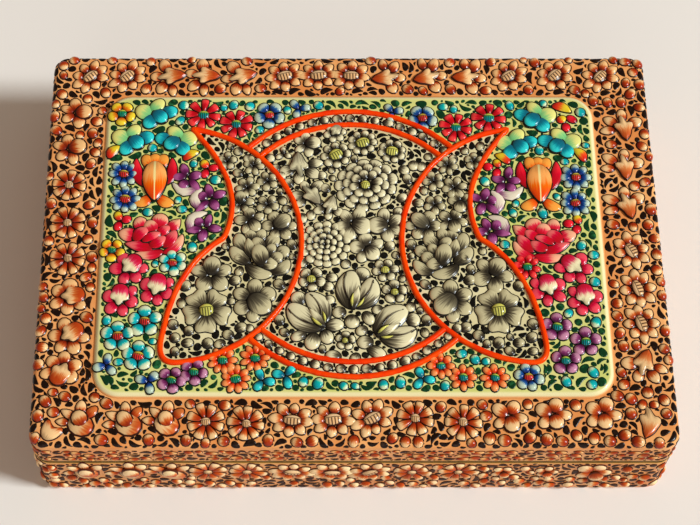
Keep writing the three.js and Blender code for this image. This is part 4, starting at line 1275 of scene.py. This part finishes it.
def groundMaterial(name, light, dark, roughness=0.34, scale=45, seam=None):
    # Flat paint with soft clouds of a deeper tone. A seam adds a band of dull gold at that height,
    # with a dark line of painted shade along its middle, where the two halves meet.
    material, tree, shader = newMaterial(name)
    clouds = addClouds(tree, scale, 4, 0.35, 0.68)
    colour = mixColour(tree, clouds.outputs["Mask"], light, dark)
    if seam:
        place = tree.nodes.new("ShaderNodeTexCoord").outputs["Object"]
        z = addNode(tree, "ShaderNodeSeparateXYZ", {0: place}).outputs[2]
        height = mathNode(tree, "SUBTRACT", z, seam["height"] * metresPerMm)
        away = mathNode(tree, "ABSOLUTE", mathNode(tree, "MULTIPLY", height, 1 / metresPerMm))
        waver = mathNode(tree, "MULTIPLY", clouds.outputs["Noise"], seam["waver"])
        away = mathNode(tree, "SUBTRACT", away, waver)
        # The gold is the rims' own paint; the dark band is painted shade in the crack between the halves.
        for band, soft, tone in (("gold", 0.3, paint(*seam["goldColour"])), ("dark", 0.2, inkBlack)):
            colour = mixColour(tree, rampNode(tree, away, seam[band], seam[band] + soft), tone, colour)
    finishPaint(tree, shader, colour, roughness, 0.08, 0.12, 0.12)
    return material


tanPetalPaint = petalMaterial("rustAndCreamPetals", inkBrown, 0.45)
wallPetalPaint = petalMaterial("wallPetals", paint(84, 32, 10), 0.4, coat=0.12)
gardenPetalPaint = petalMaterial("gardenPetals", paint(16, 20, 12), 0.3)
moonPetalPaint = petalMaterial("greyPetals", paint(26, 22, 16), 0.6, 0.36, 0.75)
blackStrokePaint = strokeMaterial("blackStrokes", inkBlack, paint(52, 34, 24))
wallStrokePaint = strokeMaterial("wallStrokes", paint(56, 24, 9), paint(90, 50, 26), 0.06)
nightStrokePaint = strokeMaterial("moonStrokes", paint(13, 12, 8), paint(44, 40, 30))
leafPaint = strokeMaterial("greenLeaves", leafGreen, paint(40, 110, 60))
# The seam's dark middle is painted shade where the lid's rim meets the base.
seamLine = {"height": (baseTop + lidRim) / 2, "gold": 1.3, "dark": 0.3, "waver": 0.5,
            "goldColour": (196, 146, 60)}
tanGround = groundMaterial("tanGround", paint(242, 172, 106), paint(226, 140, 74), seam=seamLine)
moonGround = groundMaterial("moonGround", paint(228, 215, 168), paint(212, 197, 142))
cordPaint = groundMaterial("orangeCord", paint(255, 74, 0), paint(240, 50, 0), scale=120)
blackLacquer = groundMaterial("blackLacquer", paint(26, 20, 17), paint(16, 12, 10), 0.3, 70)
gildedCard = groundMaterial("gildedCard", paint(170, 122, 48), paint(158, 108, 38), 0.4, 40)

print("stage: relief pieces")
for name, bed, sheet, look, body, material, slot in (
        ("lidBorderPetals", lidPetals, onLid, petalLook, "lid", tanPetalPaint, "border_paint"),
        ("lidBorderWings", lidWings, onLid, largeLook, "lid", tanPetalPaint, "border_paint"),
        ("lidBorderStrokes", lidStrokes, onLid, strokeLook, "lid", blackStrokePaint, "border_paint"),
        ("lidWallPetals", lidWallPetals, onWall, wallLook, "lid", wallPetalPaint, "border_paint"),
        ("lidWallStrokes", lidWallStrokes, onWall, strokeLook, "lid", wallStrokePaint, "border_paint"),
        ("baseWallPetals", wallPetals, onTallWall, wallLook, "base", wallPetalPaint, "border_paint"),
        ("baseWallStrokes", wallStrokes, onTallWall, strokeLook, "base", wallStrokePaint, "border_paint"),
        ("gardenPetals", fieldPetals, onField, petalLook, "lid", gardenPetalPaint, "garden_paint"),
        ("gardenBlooms", fieldLarge, onField, largeLook, "lid", gardenPetalPaint, "garden_paint"),
        ("gardenLeaves", fieldStrokes, onField, strokeLook, "lid", leafPaint, "garden_paint"),
        ("moonPetals", moonPetals, onField, petalLook, "lid", moonPetalPaint, "moon_paint"),
        ("moonBlooms", moonLarge, onField, largeLook, "lid", moonPetalPaint, "moon_paint"),
        ("moonStrokes", moonStrokes, onField, strokeLook, "lid", nightStrokePaint, "moon_paint")):
    dress(pillowPiece(name, bed, sheet, look), body, material, slot)

# Grounds


skin = {
    "run": 3.0,            # step along a straight
    "arcSteps": 10,
    "leastCorner": 0.05,
    "lip": (0.15, 0.2),    # the small break at the rims, in and up
    "border": (4, 24.5),   # insets of the lid's rows between its round and the field
    "bevelSteps": 9,
    "bevelPower": 1.3,
    "bevelSink": 0.4,
    "panel": (2.8, 3.5, 4.4, 6, 10, 20, 40),   # insets of the field's rows past its bevel
}


def roundedLoop(inset, reachX, reachY, corner):
    # A rounded rectangle moved inwards, counter-clockwise, with the same count for every inset:
    # the straights are cut into steps by share, not by length.
    radius = max(corner - inset, skin["leastCorner"])
    x, y = reachX - inset - radius, reachY - inset - radius
    countX, countY = int(2 * reachX / skin["run"]), int(2 * reachY / skin["run"])
    turn = np.linspace(0, math.pi / 2, skin["arcSteps"] + 1)
    loop = []
    ends = (((-x, -y), (x, -y), -math.pi / 2, countX), ((x, -y), (x, y), 0, countY),
            ((x, y), (-x, y), math.pi / 2, countX), ((-x, y), (-x, -y), math.pi, countY))
    for (ax, ay), (bx, by), out, count in ends:
        share = np.linspace(0, 1, count, endpoint=False)[:, None]
        push = np.array([math.cos(out), math.sin(out)]) * radius
        loop.append(np.array([ax, ay]) + push + share * (np.array([bx, by]) - np.array([ax, ay])))
        angle = out + turn[:-1]
        loop.append(np.array([bx, by]) + radius * np.stack([np.cos(angle), np.sin(angle)], -1))
    return np.vstack(loop)


def skinPiece(name, levels, reachX, reachY, corner):
    # Loops of one rounded rectangle stacked by inset and height, with quads between them.
    rings = []
    for inset, z in levels:
        loop = roundedLoop(inset, reachX, reachY, corner)
        rings.append(np.column_stack([loop, np.full(len(loop), z)]))
    points = np.stack(rings)
    faces = bandFaces(len(levels), points.shape[1]).tolist()
    piece = meshPiece(name, points, faces)
    setPointValues(piece, "inset", np.repeat([inset for inset, z in levels], points.shape[1]))
    return piece


def quarter(inset, z, radius, steps):
    # Levels of a quarter round from a wall at the inset over to the flat above it.
    turn = np.linspace(0, math.pi / 2, steps + 1)
    return list(zip(inset + radius * (1 - np.cos(turn)), z - radius + radius * np.sin(turn)))


print("stage: grounds")
sideNames = ("front", "back", "left", "right")
rim, foot = box["rimRound"], box["footRound"]
lipIn, lipUp = skin["lip"]
lidLevels = [(box["coat"] + rim, lidRim), (rim, lidRim), (lipIn, lidRim + lipUp), (0, lidRim + rim)]
lidLevels += [(0, z) for z in np.linspace(lidRim + 3, lidTop - 6, 4)]
lidLevels += quarter(0, lidTop, box["edgeRound"], 8)
lidLevels += [(inset, lidTop) for inset in np.linspace(*skin["border"], 8)]
lidSkin = skinPiece("lidCoat", lidLevels, halfX, halfY, box["corner"])
dress(lidSkin, "lid", tanGround, "border_paint", *(f"lid_relief_{side}" for side in sideNames))

footLevels = [(foot * (1 - math.cos(a)), foot * (1 - math.sin(a))) for a in np.linspace(math.pi / 2, 0, 5)]
baseLevels = [(box["coat"] + foot, 0.0)] + footLevels
baseLevels += [(0, z) for z in np.linspace(4, baseTop - 3, 6)]
baseLevels += [(0, baseTop - rim), (lipIn, baseTop - lipUp), (rim, baseTop), (box["coat"] + rim, baseTop)]
baseSkin = skinPiece("baseCoat", baseLevels, halfX, halfY, box["corner"])
dress(baseSkin, "base", tanGround, "border_paint", *(f"base_relief_{side}" for side in sideNames))


def panelMaterial():
    # The bevel goes from the border's tan through cream to the garden's yellow green.
    # The cream band is a painted highlight, the light the bevel catches, laid all round.
    material, tree, shader = newMaterial("gardenGround")
    inset = addNode(tree, "ShaderNodeAttribute", attribute_name="inset").outputs["Fac"]
    share = addClouds(tree, 40, 4, 0.35, 0.7).outputs["Mask"]
    ground = mixColour(tree, share, paint(208, 210, 116), paint(226, 218, 138))
    # Painted highlight: cream over the bevel's upper part.
    cream = mixColour(tree, rampNode(tree, inset, 1.5, 2.8), paint(238, 226, 172), ground)
    whole = mixColour(tree, rampNode(tree, inset, 0.2, 1.1), paint(226, 150, 84), cream)
    finishPaint(tree, shader, whole, 0.32, 0.15, 0.15, 0.1)
    return material


bevel = box["fieldBevel"]
share = np.linspace(0, 1, skin["bevelSteps"])
rise = (groundTop - lidTop) * np.sin(share * math.pi / 2) ** skin["bevelPower"]
fieldLevels = [(0, lidTop - skin["bevelSink"])]
fieldLevels += list(zip(bevel * share, lidTop + rise))
fieldLevels += [(inset, groundTop) for inset in (*skin["panel"], fieldY - 0.5)]
panel = skinPiece("fieldPanel", fieldLevels, fieldX, fieldY, box["fieldCorner"])
dress(panel, "lid", panelMaterial(), "garden_paint", "field_board", "garden_relief")


# The plates lie under the petals' outlines, each at its own height over the ground.
plates = {"moonLift": 0.025, "crescentLift": 0.04, "drop": 0.1, "drawnIn": (0.66, 0.33), "steps": 140}


def platePiece(name, outline, lift):
    # A thin plate: the outline dropped to the ground, raised, and drawn in to its middle.
    middle = outline.mean(0)
    rings = [np.column_stack([outline, np.full(len(outline), groundTop - plates["drop"])]),
             np.column_stack([outline, np.full(len(outline), groundTop + lift)])]
    for share in plates["drawnIn"]:
        drawn = middle + (outline - middle) * share
        rings.append(np.column_stack([drawn, np.full(len(outline), groundTop + lift)]))
    points = np.vstack(rings + [np.array([[*middle, groundTop + lift]])])
    count = len(outline)
    turn = np.arange(count)
    fan = np.stack([3 * count + turn, 3 * count + (turn + 1) % count, np.full(count, 4 * count)], -1)
    return meshPiece(name, points, bandFaces(4, count).tolist() + fan.tolist(), smooth=False)


def crescentPlate(name, loop, side, lift):
    # The plate between the belly and the rest of the loop, ruled across from one to the other.
    steps = moon["bellySteps"]
    belly, rest = loop[:steps], loop[steps:][::-1]
    where = np.linspace(0, len(rest) - 1, steps)
    other = np.stack([np.interp(where, np.arange(len(rest)), rest[:, k]) for k in (0, 1)], -1)
    across = np.linspace(0, 1, 9)[:, None, None]
    grid = belly * (1 - across) + other * across
    points = np.concatenate([grid, np.full(grid.shape[:2] + (1,), groundTop + lift)], -1)
    quads = bandFaces(9, steps, closed=False)
    quads = quads if side < 0 else quads[:, ::-1]
    return meshPiece(name, points, quads.tolist(), smooth=False)


circle = np.linspace(0, 2 * math.pi, plates["steps"], endpoint=False)
disc = moon["ring"] * np.stack([np.cos(circle), np.sin(circle)], -1)
# Past the crescents the plate follows their bellies.
for side in (-1, 1):
    centre = np.array([side * moon["bellyX"], -moon["drop"]])
    far = np.linalg.norm(disc - centre, axis=1, keepdims=True)
    onBelly = centre + (disc - centre) / far * moon["belly"]
    disc = np.where(far < moon["belly"], onBelly, disc)
dress(platePiece("moonPlate", disc, plates["moonLift"]), "lid", moonGround, "moon_paint", "moon_relief")
for side, hand, loop in zip((-1, 1), ("left", "right"), loops):
    plate = crescentPlate(f"crescentPlate_{hand}", loop, side, plates["crescentLift"])
    dress(plate, "lid", moonGround, "moon_paint", f"crescent_relief_{hand}")


cord = {"step": 0.8, "wander": 0.12, "swell": 0.07, "waves": (7, 13, 22, 31), "under": 0.32, "section": 11}


def cordPiece(name, path, closed):
    # A half-round bead along a path: its section goes from foot to foot over the crown, in the
    # plane across the path, and both its width and its line waver a little, as laid by hand.
    count = len(path)
    steps = np.arange(count)
    phase = rng.uniform(0, 2 * math.pi, 4)
    along = steps / count * 2 * math.pi
    waver = sum(np.sin(along * n + p) for n, p in zip(cord["waves"], phase)) / 4
    if closed:
        tangent = np.roll(path, -1, 0) - np.roll(path, 1, 0)
    else:
        tangent = np.gradient(path, axis=0)
    tangent /= np.linalg.norm(tangent, axis=1, keepdims=True)
    side = np.stack([-tangent[:, 1], tangent[:, 0]], -1)
    line = path + side * (waver * cord["wander"])[:, None]
    section = np.linspace(-cord["under"], math.pi + cord["under"], cord["section"])
    size = box["cordRadius"] * (1 + cord["swell"] * np.roll(waver, count // 3))[:, None, None]
    across = -np.cos(section)[None, :, None] * size
    high = np.sin(section)[None, :] * size[:, :, 0] + box["cordSink"]
    flat = line[:, None, :] + side[:, None, :] * across
    points = np.concatenate([flat, (groundTop + high)[..., None]], -1)
    around = len(section)
    rows = np.arange(count if closed else count - 1)
    first, step = np.meshgrid(rows, np.arange(around - 1), indexing="ij")
    nextRow = (first + 1) % count
    quads = np.stack([first * around + step, nextRow * around + step, nextRow * around + step + 1,
                      first * around + step + 1], -1).reshape(-1, 4)
    return meshPiece(name, points, quads[:, ::-1].tolist())


def softened(loop, width):
    # Rounds the corners of a closed loop by a moving average.
    kernel = np.ones(2 * width + 1) / (2 * width + 1)
    wide = np.vstack([loop[-width:], loop, loop[:width]])
    return np.stack([np.convolve(wide[:, k], kernel, "valid") for k in (0, 1)], -1)


def evenly(path, closed):
    # The same path with points at equal steps along it.
    whole = np.vstack([path, path[:1]]) if closed else path
    run = np.concatenate([[0], np.cumsum(np.linalg.norm(np.diff(whole, axis=0), axis=1))])
    count = int(run[-1] / cord["step"])
    at = np.linspace(0, run[-1], count, endpoint=not closed)
    return np.stack([np.interp(at, run, whole[:, k]) for k in (0, 1)], -1)


print("stage: cords")
for loop, hand in zip(loops, ("left", "right")):
    path = softened(evenly(loop, True), 1)
    dress(cordPiece(f"crescentCord_{hand}", path, True), "lid", cordPaint, "cord_paint",
          f"crescent_cord_{hand}")
for arc, (ring, end) in zip(arcs, [(ring, end) for ring in ("ring", "moon") for end in ("front", "back")]):
    dress(cordPiece(f"{ring}Cord_{end}", evenly(arc, False), False), "lid", cordPaint, "cord_paint",
          f"{ring}_cord_{end}")

print("stage: shells")
for node in ("base_shell", "lid_shell"):
    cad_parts[node].data.materials.clear()
    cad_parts[node].data.materials.append(blackLacquer)
for side in sideNames:
    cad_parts[f"collar_{side}"].data.materials.clear()
    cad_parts[f"collar_{side}"].data.materials.append(gildedCard)

print("stage: studio")
studio = {
    "lens": 93.2,
    "camera": (-23.5, -330.3, 715.0),
    "pitch": 26.77,          # degrees up from straight down
    "shift": (0.0797, -0.0476),
    "floor": (236, 229, 221),
    "floorReach": 3000,
    "floorRoughness": 0.7,
    "key": 990.0,
    "keyColour": (0.9, 0.97, 1.0),
    "keyPlace": (7000, -1600, 6080),
    "keySize": 1900,
    "fill": 29.0,
    "fillPlace": (-300, -4200, 2100),
    "fillSize": 3500,
    "fillColour": (0.98, 0.98, 0.97),
    "world": 0.27,
    "worldTint": (1.0, 0.78, 0.6),
}
camera = bpy.data.objects.new("camera", bpy.data.cameras.new("camera"))
bpy.context.collection.objects.link(camera)
camera.data.lens = studio["lens"]
camera.data.sensor_width = 36
camera.data.shift_x, camera.data.shift_y = studio["shift"]
camera.location = np.array(studio["camera"]) * metresPerMm
camera.rotation_euler = (math.radians(studio["pitch"]), 0, 0)
bpy.context.scene.camera = camera


def addLamp(name, place, size, power, colour):
    lamp = bpy.data.objects.new(name, bpy.data.lights.new(name, "AREA"))
    bpy.context.collection.objects.link(lamp)
    lamp.data.size = size * metresPerMm
    lamp.data.energy = power
    lamp.data.color = colour
    spot = np.array(place) * metresPerMm
    lamp.location = spot
    # The lamp looks at the box's middle: its own -Z axis points along the way there.
    far = float(np.linalg.norm(spot))
    lamp.rotation_euler = (math.acos(spot[2] / far), 0, math.atan2(spot[1], spot[0]) + math.pi / 2)
    return lamp


addLamp("windowLight", studio["keyPlace"], studio["keySize"], studio["key"], studio["keyColour"])
addLamp("softFill", studio["fillPlace"], studio["fillSize"], studio["fill"], studio["fillColour"])

floorCorners = np.array([[-1, -1, 0], [1, -1, 0], [1, 1, 0], [-1, 1, 0]]) * studio["floorReach"]
floor = meshPiece("floor", floorCorners, [(0, 1, 2, 3)])
floorMaterial, floorTree, floorShader = newMaterial("paleFloor")
floorShader.inputs["Base Color"].default_value = (*paint(*studio["floor"]), 1)
floorShader.inputs["Roughness"].default_value = studio["floorRoughness"]
floor.data.materials.append(floorMaterial)

world = bpy.data.worlds.new("softRoom")
world.use_nodes = True
sky = world.node_tree.nodes["Background"]
sky.inputs["Color"].default_value = (*studio["worldTint"], 1)
sky.inputs["Strength"].default_value = studio["world"]
bpy.context.scene.world = world
bpy.context.scene.view_settings.view_transform = "Standard"
